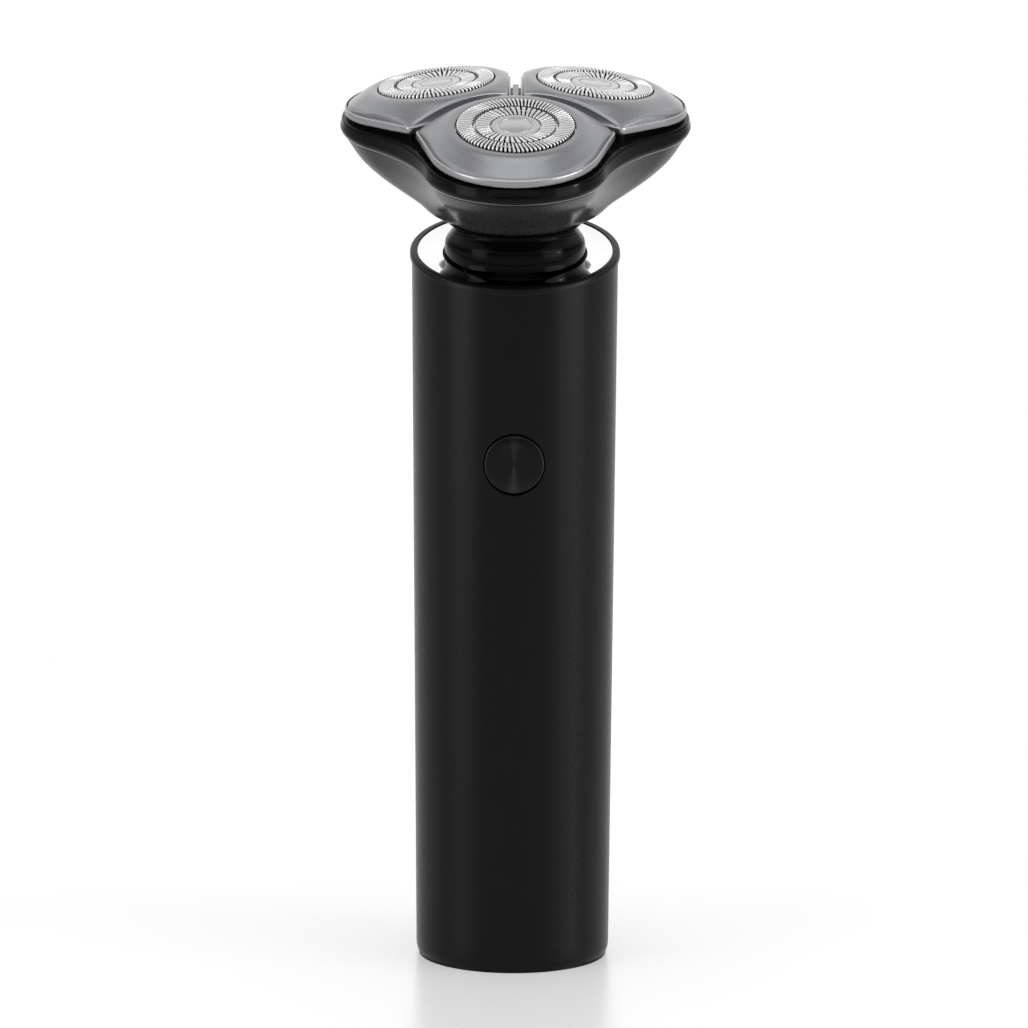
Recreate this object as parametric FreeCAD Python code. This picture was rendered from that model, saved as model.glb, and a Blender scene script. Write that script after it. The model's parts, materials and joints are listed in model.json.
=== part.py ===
import FreeCAD, Part
import math
import os
from FreeCAD import Placement, Rotation, Vector

# Cordless rotary shaver with three cutters. Millimetres, +Z up the handle, front towards -Y,
# origin at the centre of the flat base. The head's own frame has its origin where the rim
# plane crosses the handle's axis, and is tilted forward about X.

os.makedirs("parts", exist_ok=True)

# Handle
BASE_R = 17.5            # outer radius at the base
TOP_R = 18.5             # outer radius at the rim, with the moulding draft
RIM_Z = 129.3            # where the rim plane crosses the axis
WALL = 1.6
FOOT = 0.6               # the base cap stands this far below the tube
FOOT_BEVEL = 0.35
RIM_TILT = 14.6          # degrees, forward lean of the rim plane
RIM_R = 18.85
RIM_IN_R = 17.5
RIM_DEPTH = 1.1
RIM_FILLET = 0.45
DISH_TOP = -0.65         # above the rim plane
DISH_HOLE_R = 12.95

# Base, charging socket and inner frame
PLUG_R = BASE_R - WALL - 0.02
CAP_TOP = 4.0
SEAL_LOW = 1.6
SEAL_HIGH = 2.8
SEAL_DEPTH = 0.9
SCREW_X = 10.0
SCREW_RECESS = 1.2
SOCKET_Y = 9.0
SOCKET_WIDTH = 8.34
SOCKET_HEIGHT = 2.64
SOCKET_SHELL = 0.3
PORT_GAP = 0.03
CELL_R = 7.0
CELL_Y = 3.4
CELL_LOW = 26.0
CELL_HIGH = 76.0
TERMINAL_H = 0.8
BULKHEADS = (22.0, 78.0)
BULKHEAD_THICK = 2.0
BOARD_HALF = 11.0
BOARD_LOW = 8.0
BOARD_HIGH = 103.0
BOARD_BACK = -8.8
BOARD_FRONT = -10.0

# Power button
BUTTON_Z = 92.9
BUTTON_R = 5.3
BUTTON_HOLE_R = 5.65
BUTTON_TRAVEL = 0.7
BUTTON_SUNK = 0.35       # from the handle's surface to the button's face
BUTTON_BEVEL = 0.35
FLANGE_R = 6.4
FLANGE_FRONT_Y = -14.3
PLUNGER_REACH = 2.6      # switch plunger's tip in front of the board

# Motor, in the head's frame
TILT = 12.0              # degrees, forward lean of the head, its gears and the motor
MOTOR_R = 8.0
MOTOR_WALL = 0.7
MOTOR_TOP = -10.5
MOTOR_BOTTOM = -31.0
SHAFT_R = 1.0
DOG_FOOT = -2.6          # top of the motor's shaft, where the coupling's stem begins
MOUNT_TOP = -8.9
MOTOR_SCREW_X = 7.2
MOTOR_SCREW_R = 0.75

# Neck and its two crossed hinges
NECK_TILT = 5.0          # the neck stands almost upright
PIVOT_H = 0.9
NECK_BALL_R = 12.62
POST_R = 5.4
POST_BORE_R = 3.8
GIMBAL_IN_R = 6.2
GIMBAL_OUT_R = 8.0
NECK_EYE_R = 8.6
NECK_TOP_R = 12.0
NECK_TOP = 4.1           # above the pivot, along the neck's own axis
NECK_SKIN = [(12.32, -2.7), (12.56, -1.3), (12.61, 0.0), (12.4, 1.05),
             (11.8, 2.0), (11.28, 2.8), (11.4, 3.45), (NECK_TOP_R, NECK_TOP)]
PIN_R = 0.8
PIN_FIT = 0.05           # running clearance on every pin and bearing

# Three-lobed head
LOBES = {"front": -90, "right": 30, "left": 150}
LOBE_TILT = 8.0          # each cutter leans outward
RING_RHO = 16.4          # cutter ring centre from the head's axis
RING_H = 28.4
OUTLINE_RHO = 17.45      # centres of the outline's lobes
OUTLINE_R = 15.6         # lobe radius at the seam; other levels are offsets of this outline
WAIST_R = 37.4           # hollow radius between two lobes
BAND_BOTTOM = 19.25
BAND_CHAMFER = 0.7
BAND_WIDEST = 20.4
BAND_TOP = 21.95
BAND_OFFSETS = (0.05, 0.45, 0.75, 0.4)   # at the bottom, chamfer, widest line and top edge
BAND_SLOPE = 2.8
BAND_WALL = 1.3
DECK_THICK = 0.9
NOTCH_HALF = 4.6
NOTCH_HEIGHT = 1.2
NOTCH_DEPTH = 1.1
WELL_R = 11.9
RETAINER_LOW = 19.5
RETAINER_HIGH = 20.5
RETAINER_WELL_R = 8.6

# Bowl, from the neck to the seam: half width, and height above the neck's top
BOWL_PROFILE = [(12.0, 0.0), (15.1, 1.2), (17.7, 3.2), (20.7, 5.0),
                (23.8, 6.9), (26.4, 8.8), (28.5, 10.8), (30.6, 13.7)]
BOWL_TOP = 19.05
BOWL_WALL = 1.3
BOWL_SIDE_WALL = 0.9
BOWL_LOW_RHO = 1.2       # the lowest section is almost round

# Petals and the rib between them
HINGE_H = 24.2
PETAL_PIN_R = 0.6
PIN_IN_Y = 12.7
POST_OUT_Y = 14.1
EAR_IN_Y = 14.4
EAR_OUT_Y = 16.2
PIN_OUT_Y = 15.6
EAR_HALF = 1.2
RIB_TOP = 24.8
RIB_WIDTH = 1.1
RIB_REACH = 19.0
PETAL_GAP = 1.8
PETAL_RHO = 16.9
PETAL_R = 16.1
PETAL_FLARE = 10.0       # degrees
PETAL_WALL = 1.0
CORNER_TRIM = 1.12       # the blunt corner starts this far along each side
LIP_TIP = 33.4
LIP_LOW = 22.4           # lip's lower edge at the lobe's tip
LIP_TILT = 5.5
LIP_HEIGHT = 1.3
LIP_LEDGE = 0.35
DOME = [(11.6, 0), (12.6, -0.2), (13.4, -0.55), (20.0, -4.4), (26.0, -9.0)]

# Gear train
MODULE = 0.6
SUN_TEETH = 20
PLANET_TEETH = 28
BACKLASH = 0.2
GEAR_LOW = 14.6
GEAR_HIGH = 16.4
GEAR_PLATE_LOW = 11.4
GEAR_PLATE_HIGH = 12.6
COVER_LOW = 17.0
COVER_HIGH = 18.2
COVER_INSET = 4.5
SUN_SHAFT_R = 2.0
SUN_STUB_R = 1.5
PLANET_STUB_R = 1.3
SCREW_RHO = 9.0
MAGNET_RHO = 13.0
MAGNET_R = 2.0
POCKET = 0.5
BALL_R = 1.15
SEAT_R = 1.4
STEM_R = 0.8
COLLAR_R = 1.9
COLLAR_LOW = -9.3        # along the cutter's axis, from the ring plane
COLLAR_HIGH = -8.6
STEM_TOP = -5.0
BLADE_TOP = -2.4
CENTRES = MODULE * (SUN_TEETH + PLANET_TEETH) / 2
BALL_DROP = (RING_RHO - CENTRES) / math.sin(math.radians(LOBE_TILT))
BALL_H = RING_H - BALL_DROP * math.cos(math.radians(LOBE_TILT))

# Cutter guards, as (radius, height) from the ring plane, and cutters
GUARD_R = 10.4
GUARD_RISE = 0.55
GUARD_TOP = [(0, 0.12), (4.3, 0.12), (4.45, 0.22), (7.1, 0.42), (7.15, -0.15), (7.6, -0.15),
             (7.65, GUARD_RISE - 0.05), (8.2, GUARD_RISE), (10.15, GUARD_RISE),
             (GUARD_R, GUARD_RISE - 0.25), (GUARD_R, -1.12), (11.5, -1.12)]
GUARD_UNDER = [(11.5, -1.6), (10.0, -1.6), (10.0, 0.05), (7.95, 0.05), (7.95, -0.5), (6.9, -0.5),
               (6.9, 0.0), (4.2, 0.0), (4.2, -0.3), (0, -0.3)]
OUTER_SLOTS = 84
OUTER_SLOT_HALF = 0.17
INNER_SLOTS = 42
INNER_SLOT_HALF = 0.16
CUTTER_BLADES = 15
BLADE_HALF = 0.2
PLATE_LOW = -2.2
PLATE_HIGH = -1.7

UP = Vector(0, 0, 1)
ACROSS = Vector(1, 0, 0)
HEAD = Placement(Vector(0, 0, RIM_Z), Rotation(ACROSS, TILT))
RIM = Placement(Vector(0, 0, RIM_Z), Rotation(ACROSS, RIM_TILT))
PIVOT = HEAD.multVec(Vector(0, 0, PIVOT_H))
NECK = Placement(PIVOT, Rotation(ACROSS, NECK_TILT))
LIP = Placement(Vector(LIP_TIP, 0, LIP_LOW), Rotation(Vector(0, 1, 0), LIP_TILT))
RING = Placement(Vector(RING_RHO, 0, RING_H), Rotation(Vector(0, 1, 0), LOBE_TILT))


def write(node, shape):
    shape.exportStep("parts/%s.step" % node)


def placed(shape, placement):
    moved = shape.copy()
    moved.Placement = placement.multiply(moved.Placement)
    return moved


def in_head(shape):
    return placed(shape, HEAD)


def turn(degrees):
    return Placement(Vector(0, 0, 0), Rotation(UP, degrees))


def rod(radius, low, high, x=0, y=0):
    return Part.makeCylinder(radius, high - low, Vector(x, y, low), UP)


def ring(outer, inner, low, high, x=0, y=0):
    return rod(outer, low, high, x, y).cut(rod(inner, low - 1, high + 1, x, y))


def rod_along(radius, start, end):
    line = Vector(*end).sub(Vector(*start))
    return Part.makeCylinder(radius, line.Length, Vector(*start), line)


def block(low, high):
    return Part.makeBox(high[0] - low[0], high[1] - low[1], high[2] - low[2], Vector(*low))


def turned(outline):
    """Solid of revolution about Z from (radius, height) points."""
    points = [Vector(r, 0, h) for r, h in outline]
    face = Part.Face(Part.makePolygon(points + points[:1]))
    return face.revolve(Vector(0, 0, 0), UP, 360)


def fused(shapes):
    whole = shapes[0]
    for shape in shapes[1:]:
        whole = whole.fuse(shape)
    return whole.removeSplitter()


def cut_all(shape, tools):
    return shape.cut(Part.makeCompound(tools))


def around(shape, count):
    return [placed(shape, turn(360.0 * i / count)) for i in range(count)]


def slab(frame, low, high, radius=40):
    """Disc between two heights of a tilted frame, wide enough to cut with."""
    return placed(rod(radius, low, high), frame)


def rounded_bar(width, depth, low, high, x, y):
    """Upright bar with half-round ends, such as a socket's opening."""
    half = (width - depth) / 2
    middle = block((x - half, y - depth / 2, low), (x + half, y + depth / 2, high))
    ends = [rod(depth / 2, low, high, x + side * half, y) for side in (-1, 1)]
    return fused([middle] + ends)


def screw(head_r, head_h, shank_r, length):
    """Pan-head screw with a cross recess: the head rests on Z 0 and the shank points down."""
    body = rod(head_r, 0, head_h).fuse(rod(shank_r, -length, 0))
    slot = block((-head_r * 0.6, -0.2, head_h * 0.5), (head_r * 0.6, 0.2, head_h + 1))
    return body.cut(slot).cut(placed(slot, turn(90)))


# The head's three-lobed outline

def polar(distance, degrees, height=0.0):
    angle = math.radians(degrees)
    return Vector(distance * math.cos(angle), distance * math.sin(angle), height)


def mirrored(point):
    return Vector(point.x, -point.y, point.z)


def between(start, end, distance):
    """Point at a distance from start towards end."""
    line = end.sub(start)
    return start.add(line.multiply(distance / line.Length))


def outline_wire(rho, radius, hollow, height=0.0):
    """Three lobe arcs joined by three hollow waist arcs, all tangent."""
    reach = rho / 2 + math.sqrt((radius + hollow) ** 2 - 0.75 * rho ** 2)
    edges = []
    for angle in LOBES.values():
        centre = polar(rho, angle, height)
        next_centre = polar(rho, angle + 120, height)
        waist_before = polar(reach, angle - 60, height)
        waist_after = polar(reach, angle + 60, height)
        start = between(centre, waist_before, radius)
        tip = polar(rho + radius, angle, height)
        end = between(centre, waist_after, radius)
        dip = polar(reach - hollow, angle + 60, height)
        next_start = between(next_centre, waist_after, radius)
        edges.append(Part.Arc(start, tip, end).toShape())
        edges.append(Part.Arc(end, dip, next_start).toShape())
    return Part.Wire(Part.__sortEdges__(edges))


def band_outline(offset, height):
    return outline_wire(OUTLINE_RHO, OUTLINE_R + offset, WAIST_R - offset, height)


def prism(wire, height):
    return Part.Face(wire).extrude(Vector(0, 0, height))


def bowl_section(half_width, rise, shrink):
    """Outline of the bowl at one level: it turns from a level circle to the leaning outline."""
    widest, top = BOWL_PROFILE[-1]
    grown = (half_width - NECK_TOP_R) / (widest - NECK_TOP_R)
    rho = BOWL_LOW_RHO + (OUTLINE_RHO - BOWL_LOW_RHO) * grown ** 0.8
    radius = half_width - rho * math.cos(math.radians(30)) - shrink
    neck_top = NECK.multVec(Vector(0, 0, NECK_TOP))
    seam = HEAD.multVec(Vector(0, 0, BOWL_TOP))
    share = rise / top
    centre = neck_top.add(seam.sub(neck_top).multiply(share))
    lean = NECK_TILT + (TILT - NECK_TILT) * share
    wire = outline_wire(rho, radius, WAIST_R + shrink)
    wire.Placement = Placement(centre, Rotation(ACROSS, lean))
    return wire


def bowl_solid(shrink, lift):
    wires = [bowl_section(half, rise + lift, shrink) for half, rise in BOWL_PROFILE]
    return Part.makeLoft(wires, True, False)


def gear(teeth, low, high):
    """Spur gear with straight-sided approximations of its involute flanks."""
    pitch = MODULE * teeth / 2
    base = pitch * math.cos(math.radians(20))
    tip = pitch + MODULE
    root = pitch - 1.25 * MODULE

    def involute(radius):
        slant = math.acos(min(1.0, base / radius))
        return math.tan(slant) - slant

    half_pitch = math.pi / (2 * teeth) - BACKLASH / (4 * pitch) + involute(pitch)
    flank = [root, max(base, root + 0.05), pitch, tip]
    points = []
    for tooth in range(teeth):
        middle = 2 * math.pi * tooth / teeth
        halves = [(radius, half_pitch - involute(max(radius, base))) for radius in flank]
        bearings = [(radius, middle - half) for radius, half in halves]
        bearings += [(radius, middle + half) for radius, half in reversed(halves)]
        points += [Vector(r * math.cos(a), r * math.sin(a), low) for r, a in bearings]
    face = Part.Face(Part.makePolygon(points + points[:1]))
    return face.extrude(Vector(0, 0, high - low))


# Handle

def handle_radius(z):
    return BASE_R + (TOP_R - BASE_R) * z / RIM_Z


def handle_cone(inset, low, high):
    bottom = handle_radius(low) - inset
    top = handle_radius(high) - inset
    return Part.makeCone(bottom, top, high - low, Vector(0, 0, low), UP)


def handle_tube():
    high = RIM_Z + 10
    tube = handle_cone(0, FOOT, high).cut(handle_cone(WALL, FOOT, high))
    tube = tube.cut(slab(RIM, -RIM_DEPTH, 30))
    below = FOOT - 0.1
    edge_cut = turned([(BASE_R - FOOT_BEVEL, below), (BASE_R + 2, below), (BASE_R + 2, FOOT + 2.05)])
    hole = rod_along(BUTTON_HOLE_R, (0, -25, BUTTON_Z), (0, -10, BUTTON_Z))
    return tube.cut(edge_cut).cut(hole)


def rim_ring():
    upright = ring(RIM_R, RIM_IN_R, RIM_Z - 12, RIM_Z + 12)
    band = upright.common(slab(RIM, -RIM_DEPTH, 0))
    top = [e for e in band.Edges if e.BoundBox.ZMax > RIM_Z + 3 and e.BoundBox.XLength > 30]
    outer = max(top, key=lambda e: e.BoundBox.XLength * 100 + e.BoundBox.ZMax)
    return band.makeFillet(RIM_FILLET, [outer])


def collar_dish():
    plate = rod(RIM_IN_R - 0.03, RIM_Z - 12, RIM_Z + 12).common(slab(RIM, -RIM_DEPTH, DISH_TOP))
    return plate.cut(slab(RIM, -5, 5, DISH_HOLE_R))


def neck_seal():
    ball = Part.makeSphere(NECK_BALL_R + 0.08, PIVOT)
    return slab(RIM, -2.4, -RIM_DEPTH, 15.6).cut(ball)


def screw_pair(radius, low, high):
    return [rod(radius, low, high, side * SCREW_X) for side in (-1, 1)]


def port_opening(low, high):
    wider = 2 * (SOCKET_SHELL + PORT_GAP)
    return rounded_bar(SOCKET_WIDTH + wider, SOCKET_HEIGHT + wider, low, high, 0, SOCKET_Y)


def base_cap():
    body = fused([rod(BASE_R - 0.45, 0, FOOT), rod(PLUG_R, FOOT, CAP_TOP)])
    groove = ring(PLUG_R + 1, PLUG_R - SEAL_DEPTH, SEAL_LOW, SEAL_HIGH)
    holes = screw_pair(2.1, -1, SCREW_RECESS) + screw_pair(0.9, 0, CAP_TOP + 1)
    return cut_all(body, [groove, port_opening(-1, CAP_TOP + 1)] + holes)


def base_seal():
    return ring(PLUG_R, PLUG_R - SEAL_DEPTH, SEAL_LOW, SEAL_HIGH)


def base_screws():
    one = screw(1.8, 0.8, 0.85, 6.5)
    upside_down = Rotation(ACROSS, 180)
    places = [Placement(Vector(side * SCREW_X, 0, SCREW_RECESS), upside_down) for side in (-1, 1)]
    return Part.makeCompound([placed(one, place) for place in places])


def charge_socket():
    width = SOCKET_WIDTH + 2 * SOCKET_SHELL
    height = SOCKET_HEIGHT + 2 * SOCKET_SHELL
    shell = rounded_bar(width, height, 0.2, 7.2, 0, SOCKET_Y)
    return shell.cut(rounded_bar(SOCKET_WIDTH, SOCKET_HEIGHT, 0, 6.6, 0, SOCKET_Y))


def socket_tongue():
    return block((-3.35, SOCKET_Y - 0.35, 1.0), (3.35, SOCKET_Y + 0.35, 6.6))


def chassis():
    """Open-fronted carrier: a floor, a curved back and two bulkheads that hold the cell."""
    outer = BASE_R - WALL - 0.4
    shell = ring(outer, outer - 1.6, CAP_TOP, 97)
    back = shell.cut(block((-20, -20, 3), (20, 1, 98)))
    floor = rod(outer, CAP_TOP, CAP_TOP + 2)
    disc = rod(outer - 1, 0, BULKHEAD_THICK).cut(block((-20, -20, -1), (20, BOARD_BACK, 4)))
    bulkheads = [placed(disc, Placement(Vector(0, 0, z), Rotation())) for z in BULKHEADS]
    body = fused([back, floor] + bulkheads + screw_pair(2.4, CAP_TOP + 2, 10))
    top_window = block((-5, 0, 84), (5, 20, 92))
    holes = screw_pair(0.85, 3, 9) + [port_opening(3, 7), top_window]
    return cut_all(body, holes)


def battery_cell():
    can = rod(CELL_R, CELL_LOW, CELL_HIGH - TERMINAL_H, 0, CELL_Y)
    terminal = rod(2.4, CELL_HIGH - TERMINAL_H, CELL_HIGH, 0, CELL_Y)
    return can.fuse(terminal)


def battery_contacts():
    """Dished springs between the cell's ends and the bulkheads."""
    low = BULKHEADS[0] + BULKHEAD_THICK
    tip = CELL_LOW - PIN_FIT
    lower = turned([(0, tip), (1.5, tip), (4.5, low + 0.4), (5.5, low + 0.4), (5.5, low), (0, low)])
    high = BULKHEADS[1]
    tip = CELL_HIGH + PIN_FIT
    upper = turned([(0, tip), (2.0, tip), (3.4, high - 0.4), (5.0, high - 0.4), (5.0, high), (0, high)])
    shift = Placement(Vector(0, CELL_Y, 0), Rotation())
    return Part.makeCompound([placed(lower, shift), placed(upper, shift)])


def circuit_board():
    return block((-BOARD_HALF, BOARD_FRONT, BOARD_LOW), (BOARD_HALF, BOARD_BACK, BOARD_HIGH))


def board_chips():
    front = BOARD_FRONT
    chips = [
        block((-4, front - 1.0, 60), (4, front, 68)),
        block((-9, front - 1.6, 40), (-3, front, 46)),
        block((3, front - 0.8, 42), (8, front, 47)),
        block((-8, front - 1.2, 76), (-4, front, 79)),
        block((4, front - 1.2, 76), (8, front, 79)),
        block((-2, front - 2.2, 26), (2, front, 32)),
    ]
    return Part.makeCompound(chips)


def tact_switch():
    case = block((-3, BOARD_FRONT - 2.0, BUTTON_Z - 3), (3, BOARD_FRONT, BUTTON_Z + 3))
    tip = BOARD_FRONT - PLUNGER_REACH
    plunger = rod_along(1.2, (0, tip, BUTTON_Z), (0, BOARD_FRONT - 1.5, BUTTON_Z))
    return case.fuse(plunger)


def power_button():
    face_y = BUTTON_SUNK - handle_radius(BUTTON_Z)
    cap = rod_along(BUTTON_R, (0, face_y, BUTTON_Z), (0, FLANGE_FRONT_Y + 0.1, BUTTON_Z))
    rim = [e for e in cap.Edges if e.BoundBox.YMax < face_y + 0.01 and e.BoundBox.XLength > 1]
    cap = cap.makeChamfer(BUTTON_BEVEL, rim)
    flange = rod_along(FLANGE_R, (0, FLANGE_FRONT_Y, BUTTON_Z), (0, FLANGE_FRONT_Y + 0.7, BUTTON_Z))
    stem_end = BOARD_FRONT - PLUNGER_REACH - BUTTON_TRAVEL - 0.1
    stem = rod_along(1.5, (0, FLANGE_FRONT_Y + 0.6, BUTTON_Z), (0, stem_end, BUTTON_Z))
    return fused([cap, flange, stem])


def button_seal():
    start = (0, -17, BUTTON_Z)
    end = (0, FLANGE_FRONT_Y - 0.35, BUTTON_Z)
    washer = rod_along(7.3, start, end).cut(rod_along(BUTTON_HOLE_R, start, (0, -10, BUTTON_Z)))
    inside = handle_cone(WALL + 0.01, BUTTON_Z - 10, BUTTON_Z + 10)
    return washer.common(inside)


# Motor, coaxial with the tilted head

def motor_screw_rods(low, high):
    return [rod(MOTOR_SCREW_R, low, high, side * MOTOR_SCREW_X) for side in (-1, 1)]


def motor_mount():
    inner = rod(TOP_R - WALL - 0.35, RIM_Z - 30, RIM_Z + 10)
    plate = inner.common(slab(HEAD, MOTOR_TOP, MOUNT_TOP))
    holes = motor_screw_rods(-20, 0) + [rod(3.0, -20, 0)]
    return cut_all(plate, [in_head(hole) for hole in holes])


def motor_screws():
    one = screw(1.4, 0.8, MOTOR_SCREW_R, 2.2)
    spots = [Vector(side * MOTOR_SCREW_X, 0, MOUNT_TOP) for side in (-1, 1)]
    return in_head(Part.makeCompound([placed(one, Placement(spot, Rotation())) for spot in spots]))


def motor_can():
    can = rod(MOTOR_R, MOTOR_BOTTOM, MOTOR_TOP)
    can = can.cut(rod(MOTOR_R - MOTOR_WALL, MOTOR_BOTTOM - 1, MOTOR_TOP - 0.8))
    boss = rod(3.0, MOTOR_TOP - 0.4, MOTOR_TOP + 1.4)
    holes = motor_screw_rods(MOTOR_TOP - 2, MOTOR_TOP + 1) + [rod(SHAFT_R + PIN_FIT, -60, 0)]
    return in_head(cut_all(can.fuse(boss), holes))


def motor_magnets():
    sleeve = ring(MOTOR_R - MOTOR_WALL - 0.02, 6.2, MOTOR_BOTTOM + 3, MOTOR_TOP - 3)
    return in_head(sleeve.cut(block((-10, -0.8, -40), (10, 0.8, 0))))


def motor_end_cap():
    cap = rod(MOTOR_R - MOTOR_WALL - 0.02, MOTOR_BOTTOM, MOTOR_BOTTOM + 1.6)
    boss = rod(2.6, MOTOR_BOTTOM - 1.4, MOTOR_BOTTOM + 0.1)
    terminal = block((4.7, -1, MOTOR_BOTTOM - 3), (5.3, 1, MOTOR_BOTTOM + 0.1))
    body = fused([cap, boss, terminal, placed(terminal, turn(180))])
    return in_head(body.cut(rod(SHAFT_R + PIN_FIT, -60, 0)))


def motor_armature():
    poles = rod(5.6, MOTOR_BOTTOM + 4, MOTOR_TOP - 4)
    slots = around(block((3.0, -0.7, -60), (8, 0.7, 0)), 5)
    return in_head(cut_all(poles, slots + [rod(SHAFT_R, -60, 0)]))


def motor_shaft():
    return in_head(rod(SHAFT_R, MOTOR_BOTTOM - 0.8, DOG_FOOT))


def drive_dog():
    """Sleeve on the motor's shaft with a ball and a cross pin at the neck's pivot."""
    sleeve = ring(2.2, SHAFT_R, -6.0, DOG_FOOT)
    cap = rod(2.2, DOG_FOOT, DOG_FOOT + 0.4)
    stem = rod(1.1, DOG_FOOT, PIVOT_H)
    ball = Part.makeSphere(1.5, Vector(0, 0, PIVOT_H))
    cross = rod_along(0.45, (-2.6, 0, PIVOT_H), (2.6, 0, PIVOT_H))
    return in_head(fused([sleeve, cap, stem, ball, cross]))


def gimbal_post():
    tube = ring(POST_R, POST_BORE_R, MOUNT_TOP, PIVOT_H + 1.8)
    foot = ring(6.4, POST_BORE_R, MOUNT_TOP, MOUNT_TOP + 1.2)
    bore = rod_along(PIN_R, (-9, 0, PIVOT_H), (9, 0, PIVOT_H))
    relief = ring(12, 5.7, MOUNT_TOP - 1, MOUNT_TOP + 5).common(block((4, -2, -20), (12, 2, 0)))
    reliefs = [relief, placed(relief, turn(180))]
    return in_head(cut_all(fused([tube, foot]), [bore] + reliefs))


def gimbal_post_pins():
    pair = [rod_along(PIN_R, (side * 4.2, 0, PIVOT_H), (side * 7.7, 0, PIVOT_H)) for side in (-1, 1)]
    return in_head(Part.makeCompound(pair))


def gimbal_ring():
    body = ring(GIMBAL_OUT_R, GIMBAL_IN_R, PIVOT_H - 1.6, PIVOT_H + 1.6)
    across = rod_along(PIN_R + PIN_FIT, (-9, 0, PIVOT_H), (9, 0, PIVOT_H))
    along = rod_along(PIN_R, (0, -9, PIVOT_H), (0, 9, PIVOT_H))
    return in_head(cut_all(body, [across, along]))


def gimbal_ring_pins():
    pair = [rod_along(PIN_R, (0, side * 6.5, PIVOT_H), (0, side * 10.6, PIVOT_H)) for side in (-1, 1)]
    return in_head(Part.makeCompound(pair))


def centring_spring():
    """Sheet spring on the motor mount: four leaves reach up towards the neck's lower edge."""
    washer = ring(10.4, 9.6, MOUNT_TOP, MOUNT_TOP + 0.4)
    crown = turned([(9.8, MOUNT_TOP), (10.3, MOUNT_TOP), (12.0, -4.9), (11.6, -4.7)])
    gaps = [block((-20, -6.5, -20), (20, 6.5, 0)), block((-6.5, -20, -20), (6.5, 20, 0))]
    quarter = placed(crown, turn(45))
    leaves = quarter.cut(gaps[0]).cut(gaps[1])
    return in_head(fused([washer] + leaves.Solids))


# Neck and head base

def neck_shell():
    """Waisted skin about the neck's axis, hollowed for the hinge ring about the head's axis."""
    skin_points = [Vector(radius, 0, height) for radius, height in NECK_SKIN]
    foot = skin_points[0].z
    skin = Part.BSplineCurve()
    skin.interpolate(skin_points)
    ends = [skin_points[-1], Vector(0, 0, NECK_TOP), Vector(0, 0, foot), skin_points[0]]
    wire = Part.Wire([skin.toShape()] + Part.makePolygon(ends).Edges)
    body = placed(Part.Face(wire).revolve(Vector(0, 0, 0), UP, 360), NECK)
    hollows = [rod(NECK_EYE_R, -5, 8), rod(10.2, 2.7, 8), rod(10.9, -6, -0.9)]
    bore = rod_along(PIN_R + PIN_FIT, (0, -10.9, PIVOT_H), (0, 10.9, PIVOT_H))
    return cut_all(body, [in_head(shape) for shape in hollows + [bore]])


def waist_points(distance):
    """Points in the three waist directions, where screws and magnets sit."""
    return [polar(distance, angle + 60) for angle in LOBES.values()]


def lobe_points(distance):
    return [polar(distance, angle) for angle in LOBES.values()]


def rods_at(points, radius, low, high):
    return [rod(radius, low, high, p.x, p.y) for p in points]


def head_bowl():
    full = bowl_solid(0, 0)
    shell = full.cut(bowl_solid(BOWL_SIDE_WALL, BOWL_WALL))
    bosses = rods_at(waist_points(SCREW_RHO), 1.9, 3.0, GEAR_PLATE_LOW)
    body = fused([shell] + [in_head(boss).common(full) for boss in bosses])
    bores = rods_at(waist_points(SCREW_RHO), 0.8, 7.6, 20) + [rod(6.6, 0, 8)]
    neck_top = slab(NECK, -3, NECK_TOP + 0.01, 20)
    return cut_all(body, [in_head(bore) for bore in bores] + [neck_top])


def gear_plate():
    plate = prism(outline_wire(6.4, 10.4, WAIST_R, GEAR_PLATE_LOW), GEAR_PLATE_HIGH - GEAR_PLATE_LOW)
    hub = rod(3.4, 9.0, GEAR_PLATE_HIGH)
    bores = rods_at(lobe_points(CENTRES), PLANET_STUB_R + PIN_FIT, 0, 20)
    bores += rods_at(waist_points(SCREW_RHO), 0.85, 0, 20)
    bores.append(rod(SUN_SHAFT_R + PIN_FIT, 0, 20))
    return in_head(cut_all(fused([plate, hub]), bores))


def gearbox_screws():
    one = screw(1.6, 1.0, 0.8, 4.0)
    lift = Vector(0, 0, GEAR_PLATE_HIGH)
    places = [Placement(point.add(lift), Rotation()) for point in waist_points(SCREW_RHO)]
    return in_head(Part.makeCompound([placed(one, place) for place in places]))


def gearbox_cover():
    plate = prism(band_outline(-COVER_INSET, COVER_LOW), COVER_HIGH - COVER_LOW)
    holes = [placed(rod(2.4, -20, -8), turn(angle).multiply(RING)) for angle in LOBES.values()]
    holes += rods_at(waist_points(MAGNET_RHO), MAGNET_R, COVER_LOW + POCKET, 20)
    holes.append(rod(SUN_STUB_R + PIN_FIT, 0, COVER_LOW + 0.8))
    return in_head(cut_all(plate, holes))


def holding_magnets():
    discs = rods_at(waist_points(MAGNET_RHO), MAGNET_R, COVER_LOW + POCKET, COVER_HIGH + 0.3)
    return in_head(Part.makeCompound(discs))


# Rotating train

def sun_gear():
    cup = rod(3.0, PIVOT_H - 1.6, 8.9).cut(rod(1.8, PIVOT_H - 3, PIVOT_H + 1.9))
    slot = block((-5, -0.6, PIVOT_H - 3), (5, 0.6, PIVOT_H + 1.2))
    shaft = rod(SUN_SHAFT_R, 8.8, GEAR_LOW + 0.1)
    teeth = gear(SUN_TEETH, GEAR_LOW, GEAR_HIGH)
    stub = rod(SUN_STUB_R, GEAR_HIGH - 0.1, COVER_LOW + 0.5)
    return in_head(fused([cup.cut(slot), shaft, teeth, stub]))


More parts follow.
